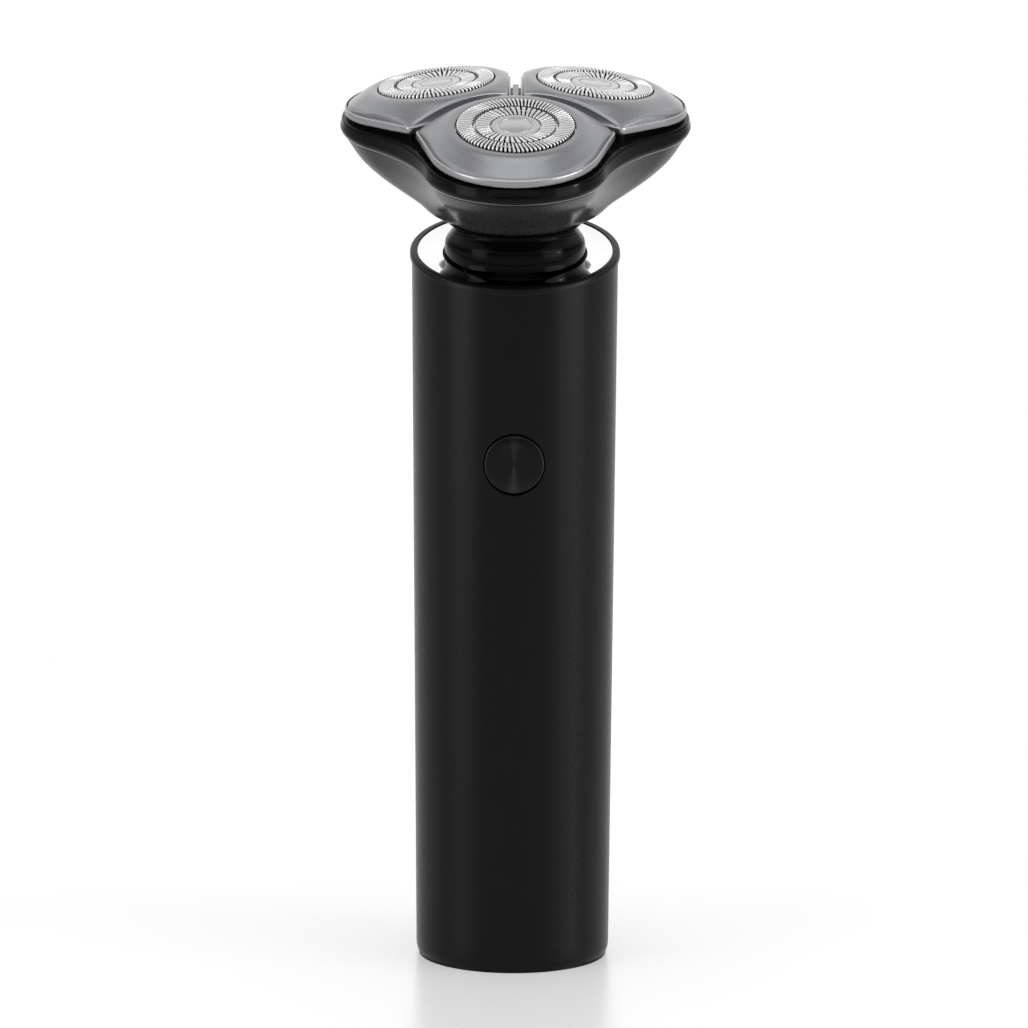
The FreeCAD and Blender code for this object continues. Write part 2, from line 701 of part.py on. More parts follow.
def planet_gear(angle):
    """Driven gear with a ball seat: its phase puts a gap where the sun gear has a tooth."""
    sun_pitch = 360.0 / SUN_TEETH
    nearest = round(angle / sun_pitch) * sun_pitch - angle
    phase = angle + 180 - nearest * SUN_TEETH / PLANET_TEETH - 180.0 / PLANET_TEETH
    hub = rod(3.1, GEAR_PLATE_HIGH + 0.1, GEAR_HIGH)
    stub = rod(PLANET_STUB_R, GEAR_PLATE_LOW + 0.1, GEAR_PLATE_HIGH + 0.2)
    body = fused([gear(PLANET_TEETH, GEAR_LOW, GEAR_HIGH), hub, stub])
    seat = Part.makeSphere(SEAT_R, Vector(0, 0, BALL_H))
    mouth = Part.makeCone(1.3, 1.9, 3.2, Vector(0, 0, BALL_H), UP)
    windows = around(rod(1.3, 12, 18, 5.4), 6)
    body = cut_all(body, [seat, mouth] + windows)
    return in_head(placed(body, Placement(polar(CENTRES, angle), Rotation(UP, phase))))


def drive_spindle(angle):
    ball = Part.makeSphere(BALL_R, Vector(0, 0, -BALL_DROP))
    stem = rod(STEM_R, -BALL_DROP, STEM_TOP)
    collar = rod(COLLAR_R, COLLAR_LOW, COLLAR_HIGH)
    blade = block((-0.9, -0.4, STEM_TOP - 0.2), (0.9, 0.4, BLADE_TOP))
    return in_head(placed(fused([ball, stem, collar, blade]), turn(angle).multiply(RING)))


def spindle_spring(angle):
    """Sprung bellows under the spindle's collar that pushes the spindle up into its cutter."""
    folds = 5
    pitch = 0.5
    wall = 0.25
    outside = [(1.55 if step % 2 else 1.3, step * pitch / 2) for step in range(2 * folds + 1)]
    inside = [(radius - wall, height) for radius, height in reversed(outside)]
    bellows = turned(outside + inside)
    foot = COLLAR_LOW - 0.02 - folds * pitch
    lowered = placed(bellows, Placement(Vector(0, 0, foot), Rotation()))
    return in_head(placed(lowered, turn(angle).multiply(RING)))


# Shaving unit

def hinge_block(start_y, end_y, low, high):
    """Block of a petal's hinge, across the hinge's axis."""
    inner, outer = sorted((start_y, end_y))
    return block((RING_RHO - EAR_HALF, inner, low), (RING_RHO + EAR_HALF, outer, high))


def head_band():
    """Band between the bowl and the petals: bevelled wall, sloping deck, three cutter wells."""
    levels = (BAND_BOTTOM, BAND_BOTTOM + BAND_CHAMFER, BAND_WIDEST, BAND_TOP)
    rings = [band_outline(offset, level) for offset, level in zip(BAND_OFFSETS, levels)]
    layers = [Part.makeLoft([lower, upper], True, True) for lower, upper in zip(rings, rings[1:])]
    layers.append(prism(band_outline(BAND_OFFSETS[-1], BAND_TOP), 3))
    solid = fused(layers).cut(above_deck())
    below = BAND_BOTTOM - 1
    solid = solid.cut(prism(band_outline(-BAND_WALL, below), BAND_TOP - DECK_THICK - below))
    solid = cut_all(solid, rods_at(lobe_points(RING_RHO), WELL_R, 10, 40))
    posts = []
    bores = []
    for angle in LOBES.values():
        for side in (-1, 1):
            post = hinge_block(side * PIN_IN_Y, side * POST_OUT_Y, BAND_TOP - 0.5, HINGE_H + 1.0)
            posts.append(placed(post, turn(angle)))
        pin = rod_along(PETAL_PIN_R, (RING_RHO, -20, HINGE_H), (RING_RHO, 20, HINGE_H))
        bores.append(placed(pin, turn(angle)))
    front = OUTLINE_RHO + OUTLINE_R + BAND_OFFSETS[2]
    notch = block((-NOTCH_HALF, -front - 5, BAND_TOP - NOTCH_HEIGHT),
                  (NOTCH_HALF, -front + NOTCH_DEPTH, BAND_TOP + 2))
    return in_head(cut_all(fused([solid] + posts), bores + [notch]))


def above_deck():
    """Space above the deck, which slopes gently down along each lobe."""
    edge = OUTLINE_RHO + OUTLINE_R + BAND_OFFSETS[-1]
    plane = Placement(Vector(edge, 0, BAND_TOP), Rotation(Vector(0, 1, 0), BAND_SLOPE))
    space = block((-80, -60, 0), (20, 60, 20))
    wedges = [placed(space, turn(a).multiply(plane)).common(sector(a)) for a in LOBES.values()]
    return Part.makeCompound(wedges)


def sector(angle):
    """The third of the head that belongs to one lobe."""
    reach = 60
    corner = reach * math.tan(math.radians(60))
    points = [Vector(0, 0, 0), Vector(reach, -corner, 0), Vector(reach, corner, 0), Vector(0, 0, 0)]
    wedge = Part.Face(Part.makePolygon(points)).extrude(Vector(0, 0, 60))
    return placed(wedge, turn(angle))


def divider_frame():
    """Three-armed rib in the gaps between the petals, standing on the deck."""
    arm = block((0, -RIB_WIDTH / 2, BAND_TOP), (RIB_REACH, RIB_WIDTH / 2, RIB_TOP))
    arms = fused([placed(arm, turn(angle + 60)) for angle in LOBES.values()])
    pieces = arms.common(above_deck()).Solids
    return in_head(fused(pieces))


def cutter_retainer():
    plate = prism(band_outline(-BAND_WALL - 0.02, RETAINER_LOW), RETAINER_HIGH - RETAINER_LOW)
    wells = rods_at(lobe_points(RING_RHO - 1.2), RETAINER_WELL_R, 10, 40)
    pockets = rods_at(waist_points(MAGNET_RHO), MAGNET_R, 10, RETAINER_LOW + POCKET)
    return in_head(cut_all(plate, wells + pockets))


def holding_plates():
    plates = rods_at(waist_points(MAGNET_RHO), MAGNET_R, COVER_HIGH + 0.6, RETAINER_LOW + POCKET)
    return in_head(Part.makeCompound(plates))


def petal_pins():
    pins = []
    for angle in LOBES.values():
        for side in (-1, 1):
            start = (RING_RHO, side * PIN_IN_Y, HINGE_H)
            end = (RING_RHO, side * PIN_OUT_Y, HINGE_H)
            pins.append(placed(rod_along(PETAL_PIN_R, start, end), turn(angle)))
    return in_head(Part.makeCompound(pins))


def petal_outline(inset):
    """Petal seen along the head's axis, lobe along X: a round end, flared sides, a blunt wedge."""
    gap = PETAL_GAP / 2 + inset
    radius = PETAL_R - inset
    slope = math.radians(60)
    flare = math.radians(PETAL_FLARE)
    apex = Vector(gap / math.sin(slope), 0, 0)
    shoulder = Vector(PETAL_RHO + radius * math.sin(flare), radius * math.cos(flare), 0)
    # The flared side meets the wedge's side at the corner
    run = (shoulder.y - (shoulder.x - apex.x) * math.tan(slope)) / (math.tan(slope) + math.tan(flare))
    corner = Vector(shoulder.x + run, shoulder.y - run * math.tan(flare), 0)
    on_wedge = between(corner, apex, CORNER_TRIM)
    on_flare = between(corner, shoulder, CORNER_TRIM)
    halfway = on_wedge.add(on_flare).multiply(0.5)
    bulge = halfway.add(corner.sub(halfway).multiply(0.42))
    tip = Vector(PETAL_RHO + radius, 0, 0)
    edges = [
        Part.makeLine(apex, on_wedge),
        Part.Arc(on_wedge, bulge, on_flare).toShape(),
        Part.makeLine(on_flare, shoulder),
        Part.Arc(shoulder, tip, mirrored(shoulder)).toShape(),
        Part.makeLine(mirrored(shoulder), mirrored(on_flare)),
        Part.Arc(mirrored(on_flare), mirrored(bulge), mirrored(on_wedge)).toShape(),
        Part.makeLine(mirrored(on_wedge), apex),
    ]
    return Part.Wire(edges)


def petal_prism(inset, low, high):
    """Upright prism of the petal's outline between two heights above the lip's plane."""
    upright = placed(prism(petal_outline(inset), 30), Placement(Vector(0, 0, 10), Rotation()))
    space = block((-60, -60, low), (60, 60, high))
    return upright.common(placed(space, LIP))


def petal_dome(lower):
    """Solid under the top skin: almost flat round the guard, then a flank."""
    skin = [(radius, height - lower) for radius, height in DOME]
    return placed(turned([(0, -lower)] + skin + [(0, skin[-1][1])]), RING)


def petal(angle):
    dome = petal_prism(LIP_LEDGE, 0, 20).common(petal_dome(0))
    lip = petal_prism(0, 0, LIP_HEIGHT)
    hollow = petal_prism(PETAL_WALL, -1, 20).common(petal_dome(PETAL_WALL))
    ears = []
    bores = []
    for side in (-1, 1):
        ear = hinge_block(side * EAR_IN_Y, side * EAR_OUT_Y, HINGE_H - 1.1, HINGE_H + 1.4)
        ears.append(ear.common(petal_prism(0.2, -3, 20)))
        start = (RING_RHO, 0, HINGE_H)
        end = (RING_RHO, side * PIN_OUT_Y, HINGE_H)
        bores.append(rod_along(PETAL_PIN_R + PIN_FIT, start, end))
    body = fused([dome.fuse(lip).cut(hollow)] + ears)
    well = placed(rod(GUARD_R + 0.25, -3, 5), RING)
    return in_head(placed(cut_all(body, bores + [well]), turn(angle)))


def guard(angle):
    """Thin cap with two slotted tracks, a groove between them and a plain centre."""
    body = turned(GUARD_TOP + GUARD_UNDER)
    outer_slot = block((7.95, -OUTER_SLOT_HALF, -0.35), (12, OUTER_SLOT_HALF, 2))
    inner_slot = block((4.6, -INNER_SLOT_HALF, -0.2), (6.88, INNER_SLOT_HALF, 2))
    slots = around(outer_slot, OUTER_SLOTS) + around(inner_slot, INNER_SLOTS)
    engraved = ring(2.95, 2.8, 0.04, 1)
    return in_head(placed(cut_all(body, slots + [engraved]), turn(angle).multiply(RING)))


def cutter(angle):
    """Two rings of upright blades on a spider, with a slotted hub for the spindle's blade."""
    plate = ring(9.6, 4.7, PLATE_LOW, PLATE_HIGH)
    spokes = around(block((2.0, -0.8, PLATE_LOW), (5.2, 0.8, PLATE_HIGH)), 5)
    hub = rod(2.5, -4.3, -1.4).cut(block((-1.3, -0.8, -5), (1.3, 0.8, -1.9)))
    outer_blade = block((8.15, -BLADE_HALF, PLATE_HIGH - 0.1), (9.5, BLADE_HALF, -0.05))
    inner_blade = block((5.0, -BLADE_HALF, PLATE_HIGH - 0.1), (6.7, BLADE_HALF, -0.1))
    blades = around(outer_blade, CUTTER_BLADES) + around(inner_blade, CUTTER_BLADES)
    body = fused([plate, hub] + spokes + blades)
    return in_head(placed(body, turn(angle).multiply(RING)))


SINGLE_PARTS = [
    handle_tube, rim_ring, collar_dish, neck_seal, base_cap, base_seal, base_screws,
    charge_socket, socket_tongue, chassis, battery_cell, battery_contacts, circuit_board,
    board_chips, tact_switch, button_seal, power_button,
    motor_mount, motor_screws, motor_can, motor_magnets, motor_end_cap, motor_armature,
    motor_shaft, drive_dog, gimbal_post, gimbal_post_pins, centring_spring,
    gimbal_ring, gimbal_ring_pins,
    neck_shell, head_bowl, gear_plate, gearbox_screws, gearbox_cover, holding_magnets,
    sun_gear, head_band, divider_frame, cutter_retainer, holding_plates, petal_pins,
]
LOBE_PARTS = [planet_gear, drive_spindle, spindle_spring, petal, guard, cutter]

for build in SINGLE_PARTS:
    write(build.__name__, build())

for build in LOBE_PARTS:
    for lobe, lobe_angle in LOBES.items():
        write("%s_%s" % (build.__name__, lobe), build(lobe_angle))
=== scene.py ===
import json
import math

import bmesh
import bpy
from mathutils import Matrix, Vector


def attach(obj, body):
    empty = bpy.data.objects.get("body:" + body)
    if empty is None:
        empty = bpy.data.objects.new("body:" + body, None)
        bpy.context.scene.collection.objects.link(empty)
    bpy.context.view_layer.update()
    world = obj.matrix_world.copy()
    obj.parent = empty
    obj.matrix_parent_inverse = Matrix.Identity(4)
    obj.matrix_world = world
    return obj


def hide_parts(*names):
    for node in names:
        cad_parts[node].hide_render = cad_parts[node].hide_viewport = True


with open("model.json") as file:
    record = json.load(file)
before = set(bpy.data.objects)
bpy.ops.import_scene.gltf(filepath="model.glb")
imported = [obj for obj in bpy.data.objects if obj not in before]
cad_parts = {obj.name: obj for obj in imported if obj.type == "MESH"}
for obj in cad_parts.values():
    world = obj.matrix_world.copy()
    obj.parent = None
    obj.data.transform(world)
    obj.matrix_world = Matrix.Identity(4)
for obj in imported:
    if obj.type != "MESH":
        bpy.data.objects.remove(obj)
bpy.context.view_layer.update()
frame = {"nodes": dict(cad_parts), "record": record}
nodes = frame["nodes"]

# Rotary shaver, standing upright. Shapes are worked out in millimetres and written in metres.
# Head shapes use the head's own frame: its origin is where the rim plane crosses the handle's
# axis, and it leans forward about X. A lobe's frame is the head's, turned so that the lobe lies
# along X.
MM = 0.001
ROUND_STEPS = 192

# Handle
RIM_Z, RIM_TILT = 129.3, 14.6          # height of the rim on the axis, forward lean in degrees
BASE_R, TOP_R, WALL = 17.5, 18.5, 1.6  # outer radius at the base and at the rim, wall
FOOT_Z, FOOT_TOP = 0.6, 2.0            # bottom of the tube and top of its bevelled foot
TUBE_RINGS, INNER_RINGS = 49, 8
RIM_R, RIM_IN_R, RIM_DEPTH = 18.85, 17.5, 1.1
DISH_IN_R, DISH_BOTTOM = 13.0, -1.08   # dish heights are measured from the rim plane
DISH_LOW, DISH_RISE, DISH_SAG = -0.72, 0.47, 0.06
BUTTON_Z, BUTTON_R, BUTTON_HOLE_R = 92.9, 5.36, 5.55
BUTTON_SUNK = 0.35                     # from the handle's surface to the button's face
BUTTON_FLANGE_Y = -14.3                # front of the flange inside the handle
BUTTON_EDGE_R = 5.1                    # the bevel lies outside this radius

# Neck, bowl and band
TILT, NECK_TILT = 12.0, 5.0            # forward lean of the head and of the neck, in degrees
PIVOT_H, NECK_TOP = 0.9, 4.1           # hinge point above the rim plane, neck's top above it
LOBES = {"front": -90, "right": 30, "left": 150}
# Outline of the band: distance of the lobes' centres, their radius, radius of the hollows
OUTLINE_RHO, OUTLINE_R, WAIST_R = 17.45, 15.6, 37.4
LOBE_STEPS, WAIST_STEPS = 28, 24       # points on half a lobe and on the hollow between two lobes
BOWL = [(12.0, 0.0), (15.1, 1.2), (17.7, 3.2), (20.7, 5.0), (23.8, 6.9), (26.4, 8.8), (28.5, 10.8),
        (30.6, 13.7)]                  # half width and rise of the bowl's skin
BOWL_TOP, BOWL_CORE_RHO, BOWL_GROWTH = 19.05, 1.2, 0.8
SEAM_RISE, SEAM_STEP = 13.72, 0.12
BOWL_WALL, BOWL_FLOOR, BOWL_MOUTH_R = 1.3, 0.9, 10.6
BAND_BOTTOM, BAND_WIDEST, BAND_TOP = 19.25, 20.6, 21.95
BAND_WALL, BAND_DECK = 1.3, 0.9
BAND_SLOPE = math.tan(math.radians(2.8))
DECK_EDGE = OUTLINE_RHO + OUTLINE_R + 0.4
WELL_R = 11.9                          # opening in the deck under each cutter ring
NOTCH_HALF, NOTCH_DEPTH, NOTCH_LOW = 4.6, 1.1, 1.2

# Petals and guards
LOBE_TILT = 8.0                        # a cutter ring leans outward by this
RING_RHO, RING_H = 16.4, 28.4          # a cutter ring's distance from the head's axis, and height
GAP = 1.8                              # between two petals
# Petal's outline: centre and radius of its round end, flare of its sides, length of its corners
PETAL_RHO, PETAL_R, PETAL_FLARE = 17.7, 15.3, 16.0
CORNER_TRIM = 2.2
# Lip round the petal's foot: where it is lowest, its lowest height, its height, its width
LIP_TIP, LIP_LOW, LIP_HEIGHT, LEDGE = 33.4, 22.4, 1.3, 0.35
LIP_SLOPE = math.tan(math.radians(5.5))
LEDGE_HIGHLIGHT_FACES = (33, 34, 35, 37, 38)     # faces of each petal row whose lighter colour is a painted highlight, where the lip's edge catches the light
PETAL_STEPS, DOME_START, DOME_RINGS = 288, 11.1, 24
SKIN_THICK, SKIRT = 1.0, 1.0
GUARD_R, HUB_R = 10.4, 4.31
HINGE_H, PIN_R = 24.2, 0.6
FLOOR_INSET, FLOOR_R, FLOOR_TOP = 1.6, 11.95, 24.4    # raised floor under each petal
RIB_HALF, RIB_REACH, RIB_TOP = 0.55, 19.0, 24.8

# Camera
CAMERA_DISTANCE, CAMERA_AIM = 1.1, 0.081    # metres
CAMERA_PITCH, CAMERA_ROLL, LENS = 9.7, 0.23, 213.3


def turned(axis, degrees):
    return Matrix.Rotation(math.radians(degrees), 4, axis)


def moved(x, y, z):
    return Matrix.Translation((x, y, z))


HEAD = moved(0, 0, RIM_Z) @ turned("X", TILT)
NECK = Matrix.Translation(HEAD @ Vector((0, 0, PIVOT_H))) @ turned("X", NECK_TILT)


def lobe(angle):
    return HEAD @ turned("Z", angle)


def seat(angle):
    return lobe(angle) @ moved(RING_RHO, 0, RING_H) @ turned("Y", LOBE_TILT)


# Mesh helpers

def circle(steps):
    """Cosine and sine of evenly spaced angles."""
    angles = [2 * math.pi * step / steps for step in range(steps)]
    return [(math.cos(angle), math.sin(angle)) for angle in angles]


class Shape:
    """Vertices in millimetres and faces, gathered before they become one object."""

    def __init__(self):
        self.verts = []
        self.faces = []

    def grid(self, rows, around=True, loop=False, place=None):
        """Rows of points joined by quads. around closes each row, loop closes the rows."""
        start = len(self.verts)
        count = len(rows[0])
        for row in rows:
            for point in row:
                spot = Vector(point)
                self.verts.append(place @ spot if place else spot)
        ends = len(rows) if loop else len(rows) - 1
        steps = count if around else count - 1
        for i in range(ends):
            here = start + i * count
            there = start + ((i + 1) % len(rows)) * count
            for j in range(steps):
                k = (j + 1) % count
                self.faces.append((here + j, here + k, there + k, there + j))
        return start

    def cap(self, start, count, flip=False):
        """Flat face over one row of points."""
        ids = list(range(start, start + count))
        self.faces.append(tuple(reversed(ids)) if flip else tuple(ids))

    def tube(self, rows, place=None):
        """Closed bar: rows of points with both ends capped."""
        start = self.grid(rows, place=place)
        self.cap(start, len(rows[0]), True)
        self.cap(start + (len(rows) - 1) * len(rows[0]), len(rows[0]))

    def block(self, low, high, bevel, place=None):
        """Box with bevelled edges."""
        rows = []
        c = bevel
        levels = [(0, 2.4 * c), (c * 0.3, c), (c, c * 0.3), (2.4 * c, 0)]
        ups = [(low[2] + rise, inset) for rise, inset in levels]
        downs = [(high[2] - rise, inset) for rise, inset in reversed(levels)]
        for z, inset in ups + downs:
            x0, x1 = low[0] + inset, high[0] - inset
            y0, y1 = low[1] + inset, high[1] - inset
            rows.append([(x0 + c, y0, z), (x1 - c, y0, z), (x1, y0 + c, z), (x1, y1 - c, z),
                         (x1 - c, y1, z), (x0 + c, y1, z), (x0, y1 - c, z), (x0, y0 + c, z)])
        self.tube(rows, place)

    def lathe(self, profile, segments=128, place=None, loop=True):
        """Profile of (radius, height) points turned about Z; loop closes the profile."""
        rows = [[(r * c, r * s, h) for r, h in profile] for c, s in circle(segments)]
        self.grid(rows, around=loop, loop=True, place=place)


def mesh_object(name, shape):
    """Object in metres, with touching points merged and the faces turned outward."""
    mesh = bpy.data.meshes.new(name)
    mesh.from_pydata([v * MM for v in shape.verts], [], shape.faces)
    mesh.validate()
    obj = bpy.data.objects.new(name, mesh)
    bpy.context.scene.collection.objects.link(obj)
    work = bmesh.new()
    work.from_mesh(mesh)
    bmesh.ops.remove_doubles(work, verts=work.verts, dist=1e-7)
    bmesh.ops.recalc_face_normals(work, faces=work.faces)
    work.to_mesh(mesh)
    work.free()
    return obj


def finish_mesh(name, shape, material, body, replaced, sharp=35):
    """Smooth piece that rides on a body and stands for the replaced nodes."""
    obj = mesh_object(name, shape)
    obj.data.shade_smooth()
    obj.data.set_sharp_from_angle(angle=math.radians(sharp))
    obj.data.materials.append(material)
    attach(obj, body)
    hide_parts(*replaced)
    return obj


def smooth_curve(points, steps):
    """Points on a smooth curve through the given ones."""
    result = []
    last = len(points) - 1
    for i in range(last):
        p0, p1 = points[max(i - 1, 0)], points[i]
        p2, p3 = points[i + 1], points[min(i + 2, last)]
        for step in range(steps):
            t = step / steps
            result.append(tuple(
                0.5 * (2 * b + (c - a) * t + (2 * a - 5 * b + 4 * c - d) * t * t
                       + (3 * b - a - 3 * c + d) * t ** 3)
                for a, b, c, d in zip(p0, p1, p2, p3)))
    result.append(tuple(points[-1]))
    return result


def rounded(points, radii, steps=5):
    """Closed polygon with its corners rounded; each radius is cut to fit."""
    result = []
    count = len(points)
    for i in range(count):
        corner = Vector(points[i])
        before = Vector(points[i - 1]) - corner
        after = Vector(points[(i + 1) % count]) - corner
        trim = min(radii[i], before.length * 0.49, after.length * 0.49)
        if trim <= 0:
            result.append(tuple(corner))
            continue
        start = corner + before.normalized() * trim
        end = corner + after.normalized() * trim
        for step in range(steps + 1):
            t = step / steps
            result.append(tuple(start * (1 - t) ** 2 + corner * 2 * t * (1 - t) + end * t * t))
    return result


# Materials

def shader(name, color, roughness, **inputs):
    """Plain shader; further inputs are given by name, with _ for a space."""
    material = bpy.data.materials.new(name)
    material.use_nodes = True
    bsdf = material.node_tree.nodes["Principled BSDF"]
    bsdf.inputs["Base Color"].default_value = (*color, 1)
    bsdf.inputs["Roughness"].default_value = roughness
    for key, value in inputs.items():
        bsdf.inputs[key.replace("_", " ")].default_value = value
    return material


def texture_coordinate(material):
    return material.node_tree.nodes.new("ShaderNodeTexCoord").outputs["Object"]


def noise(material, scale, detail=2.0, stretch=None):
    tree = material.node_tree
    texture = tree.nodes.new("ShaderNodeTexNoise")
    texture.inputs["Scale"].default_value = scale
    texture.inputs["Detail"].default_value = detail
    source = texture_coordinate(material)
    if stretch:
        mapping = tree.nodes.new("ShaderNodeMapping")
        mapping.inputs["Scale"].default_value = stretch
        tree.links.new(source, mapping.inputs["Vector"])
        source = mapping.outputs["Vector"]
    tree.links.new(source, texture.inputs["Vector"])
    return texture.outputs["Fac"]


def spread(material, factor, low, high):
    """Number that runs from low to high with the factor."""
    tree = material.node_tree
    ramp = tree.nodes.new("ShaderNodeMapRange")
    ramp.inputs["From Min"].default_value = 0.3
    ramp.inputs["From Max"].default_value = 0.7
    ramp.inputs["To Min"].default_value = low
    ramp.inputs["To Max"].default_value = high
    tree.links.new(factor, ramp.inputs["Value"])
    return ramp.outputs["Result"]


def fill_ramp(ramp, stops):
    """Puts (position, colour) stops into a colour ramp."""
    elements = ramp.color_ramp.elements
    while len(elements) < len(stops):
        elements.new(0.5)
    for element, (position, color) in zip(elements, stops):
        element.position = position
        element.color = (*color, 1)


def vary_color(material, factor, dark, light):
    tree = material.node_tree
    ramp = tree.nodes.new("ShaderNodeValToRGB")
    fill_ramp(ramp, [(0.3, dark), (0.7, light)])
    tree.links.new(factor, ramp.inputs["Fac"])
    tree.links.new(ramp.outputs["Color"], tree.nodes["Principled BSDF"].inputs["Base Color"])


def bump(material, height, depth):
    tree = material.node_tree
    node = tree.nodes.new("ShaderNodeBump")
    node.inputs["Strength"].default_value = 1.0
    node.inputs["Distance"].default_value = depth * MM
    tree.links.new(height, node.inputs["Height"])
    tree.links.new(node.outputs["Normal"], tree.nodes["Principled BSDF"].inputs["Normal"])


def finish(name, color, roughness, grain=900.0, depth=0.01, change=0.15, rough_change=0.05,
           stretch=None, **inputs):
    """Shader with grain of that scale, depth mm high. The colour varies by the share change, and
    the roughness by rough_change."""
    material = shader(name, color, roughness, **inputs)
    fine = noise(material, grain, 3.0, stretch)
    broad = noise(material, grain / 12, 2.0)
    dark = tuple(c * (1 - change) for c in color)
    light = tuple(min(1, c * (1 + change)) for c in color)
    vary_color(material, broad, dark, light)
    bsdf = material.node_tree.nodes["Principled BSDF"]
    value = spread(material, fine, max(0.02, roughness - rough_change), roughness + rough_change)
    material.node_tree.links.new(value, bsdf.inputs["Roughness"])
    if depth:
        bump(material, fine, depth)
    return material


def turned_metal(name, color, roughness, axis, anisotropic):
    """Metal turned on a lathe: its shine runs round the axis."""
    material = finish(name, color, roughness, 2500, 0.0, 0.06, 0.04, Metallic=1.0,
                      Anisotropic=anisotropic)
    tree = material.node_tree
    tangent = tree.nodes.new("ShaderNodeTangent")
    tangent.direction_type = "RADIAL"
    tangent.axis = axis
    tree.links.new(tangent.outputs["Tangent"], tree.nodes["Principled BSDF"].inputs["Tangent"])
    return material


def paint_sheen_highlight(material, centre, stops):
    """Painted highlight: grey that changes round a disc facing -Y, standing in for the bow-tie
    sheen of spun metal; given as (share of the turn, level) stops.
    """
    tree = material.node_tree
    spot = tree.nodes.new("ShaderNodeMapping")
    spot.vector_type = "TEXTURE"
    spot.inputs["Location"].default_value = centre
    spot.inputs["Rotation"].default_value = (math.pi / 2, 0, 0)
    tree.links.new(texture_coordinate(material), spot.inputs["Vector"])
    sweep = tree.nodes.new("ShaderNodeTexGradient")
    sweep.gradient_type = "RADIAL"
    tree.links.new(spot.outputs["Vector"], sweep.inputs["Vector"])
    ramp = tree.nodes.new("ShaderNodeValToRGB")
    ramp.color_ramp.interpolation = "EASE"
    fill_ramp(ramp, [(turn, (level, level, level * 1.04)) for turn, level in stops])
    tree.links.new(sweep.outputs["Fac"], ramp.inputs["Fac"])
    tree.links.new(ramp.outputs["Color"], tree.nodes["Principled BSDF"].inputs["Base Color"])


# Colour, roughness, grain scale, grain height, change of the colour, change of the roughness
shell_black = finish("shell_black", (0.003, 0.003, 0.0033), 0.3, 2600, 0.002, 0.1,
                     Specular_IOR_Level=0.13)
rim_graphite = finish("rim_graphite", (0.004, 0.004, 0.0045), 0.3, 2200, 0.002, 0.1,
                      Specular_IOR_Level=0.16)
mirror_metal = finish("mirror_metal", (0.92, 0.92, 0.93), 0.05, 1500, 0.0, 0.01, 0.02,
                      Metallic=1.0)
gloss_black = finish("gloss_black", (0.002, 0.002, 0.0026), 0.1, 1800, 0.0005, 0.1, 0.03,
                     Specular_IOR_Level=0.22)
neck_black = finish("neck_black", (0.002, 0.002, 0.0024), 0.17, 1800, 0.0005, 0.1, 0.03,
                    Specular_IOR_Level=0.06)
band_black = finish("band_black", (0.005, 0.005, 0.0055), 0.16, 1800, 0.0005, 0.1, 0.03,
                    Specular_IOR_Level=0.07)
# Painted highlight: lighter grey for the band's bevelled lower edge, standing in for the light that
# edge catches.
band_edge_highlight = finish("band_edge_highlight", (0.07, 0.07, 0.073), 0.22, 2400, 0.0005, 0.05, 0.02,
                   Specular_IOR_Level=0.4)
bowl_graphite = finish("bowl_graphite", (0.027, 0.027, 0.0277), 0.27, 2400, 0.0005, 0.05, 0.01,
                       Specular_IOR_Level=0.2)
petal_silver = finish("petal_silver", (0.285, 0.289, 0.3), 0.3, 3200, 0.002, 0.03, 0.05,
                      Metallic=0.9, Specular_IOR_Level=0.4)
# Painted highlight: lighter silver for the rounded lip of each petal, standing in for the light
# that edge catches.
petal_edge_highlight = finish("petal_edge_highlight", (0.45, 0.45, 0.46), 0.28, 3200, 0.001, 0.03, 0.05,
                    Metallic=0.9)
blade_steel = finish("blade_steel", (0.72, 0.72, 0.725), 0.26, 3000, 0.0015, 0.03, 0.06,
                     Metallic=1.0)
blade_hub = finish("blade_hub", (0.52, 0.52, 0.525), 0.3, 3000, 0.0015, 0.03, 0.06,
                   Metallic=1.0)
# Painted shade: the cutters are steel, but get a near-black colour standing in for the shade they
# sit in under the guards.
cutter_painted_shade = finish("cutter_painted_shade", (0.02, 0.02, 0.021), 0.45, 2500, 0.002, 0.2, Metallic=1.0)
button_metal = turned_metal("button_metal", (0.014, 0.014, 0.015), 0.33, "Y", 0.85)
# Painted highlight: the button's colour is lighter in two opposite sectors of the disc, standing in
# for the bow-tie sheen of the spun face.
paint_sheen_highlight(button_metal, (0, 0, BUTTON_Z * MM),
          [(0.0, 0.017), (0.185, 0.017), (0.25, 0.034), (0.3, 0.017), (0.69, 0.017),
           (0.75, 0.027), (0.8, 0.017), (1.0, 0.017)])
# Painted highlight: a slightly lighter grey on the button's bevel, standing in for the light the
# chamfer catches.
button_bevel_highlight = finish("button_bevel_highlight", (0.025, 0.025, 0.026), 0.3, 2500, 0.001, 0.05,
                     Metallic=1.0)
seal_rubber = finish("seal_rubber", (0.012, 0.012, 0.012), 0.6, 1500, 0.01)
frame_plastic = finish("frame_plastic", (0.03, 0.03, 0.033), 0.5, 1500, 0.008)
gear_acetal = finish("gear_acetal", (0.72, 0.71, 0.66), 0.4, 1400, 0.004, 0.05)
steel_plain = finish("steel_plain", (0.45, 0.45, 0.46), 0.32, 2200, 0.003, 0.08, Metallic=1.0)
contact_metal = finish("contact_metal", (0.65, 0.45, 0.2), 0.3, 1800, 0.002, 0.08, Metallic=1.0)
board_green = finish("board_green", (0.012, 0.09, 0.03), 0.35, 1200, 0.003, 0.25)
chip_black = finish("chip_black", (0.015, 0.015, 0.017), 0.5, 2000, 0.004)
cell_sleeve = finish("cell_sleeve", (0.03, 0.09, 0.22), 0.25, 900, 0.002, 0.08)
magnet_nickel = finish("magnet_nickel", (0.55, 0.55, 0.56), 0.18, 2000, 0.001, 0.05, Metallic=1.0)
winding_copper = finish("winding_copper", (0.5, 0.17, 0.06), 0.3, 1600, 0.02, 0.15,
                        stretch=(1, 1, 8), Metallic=1.0)

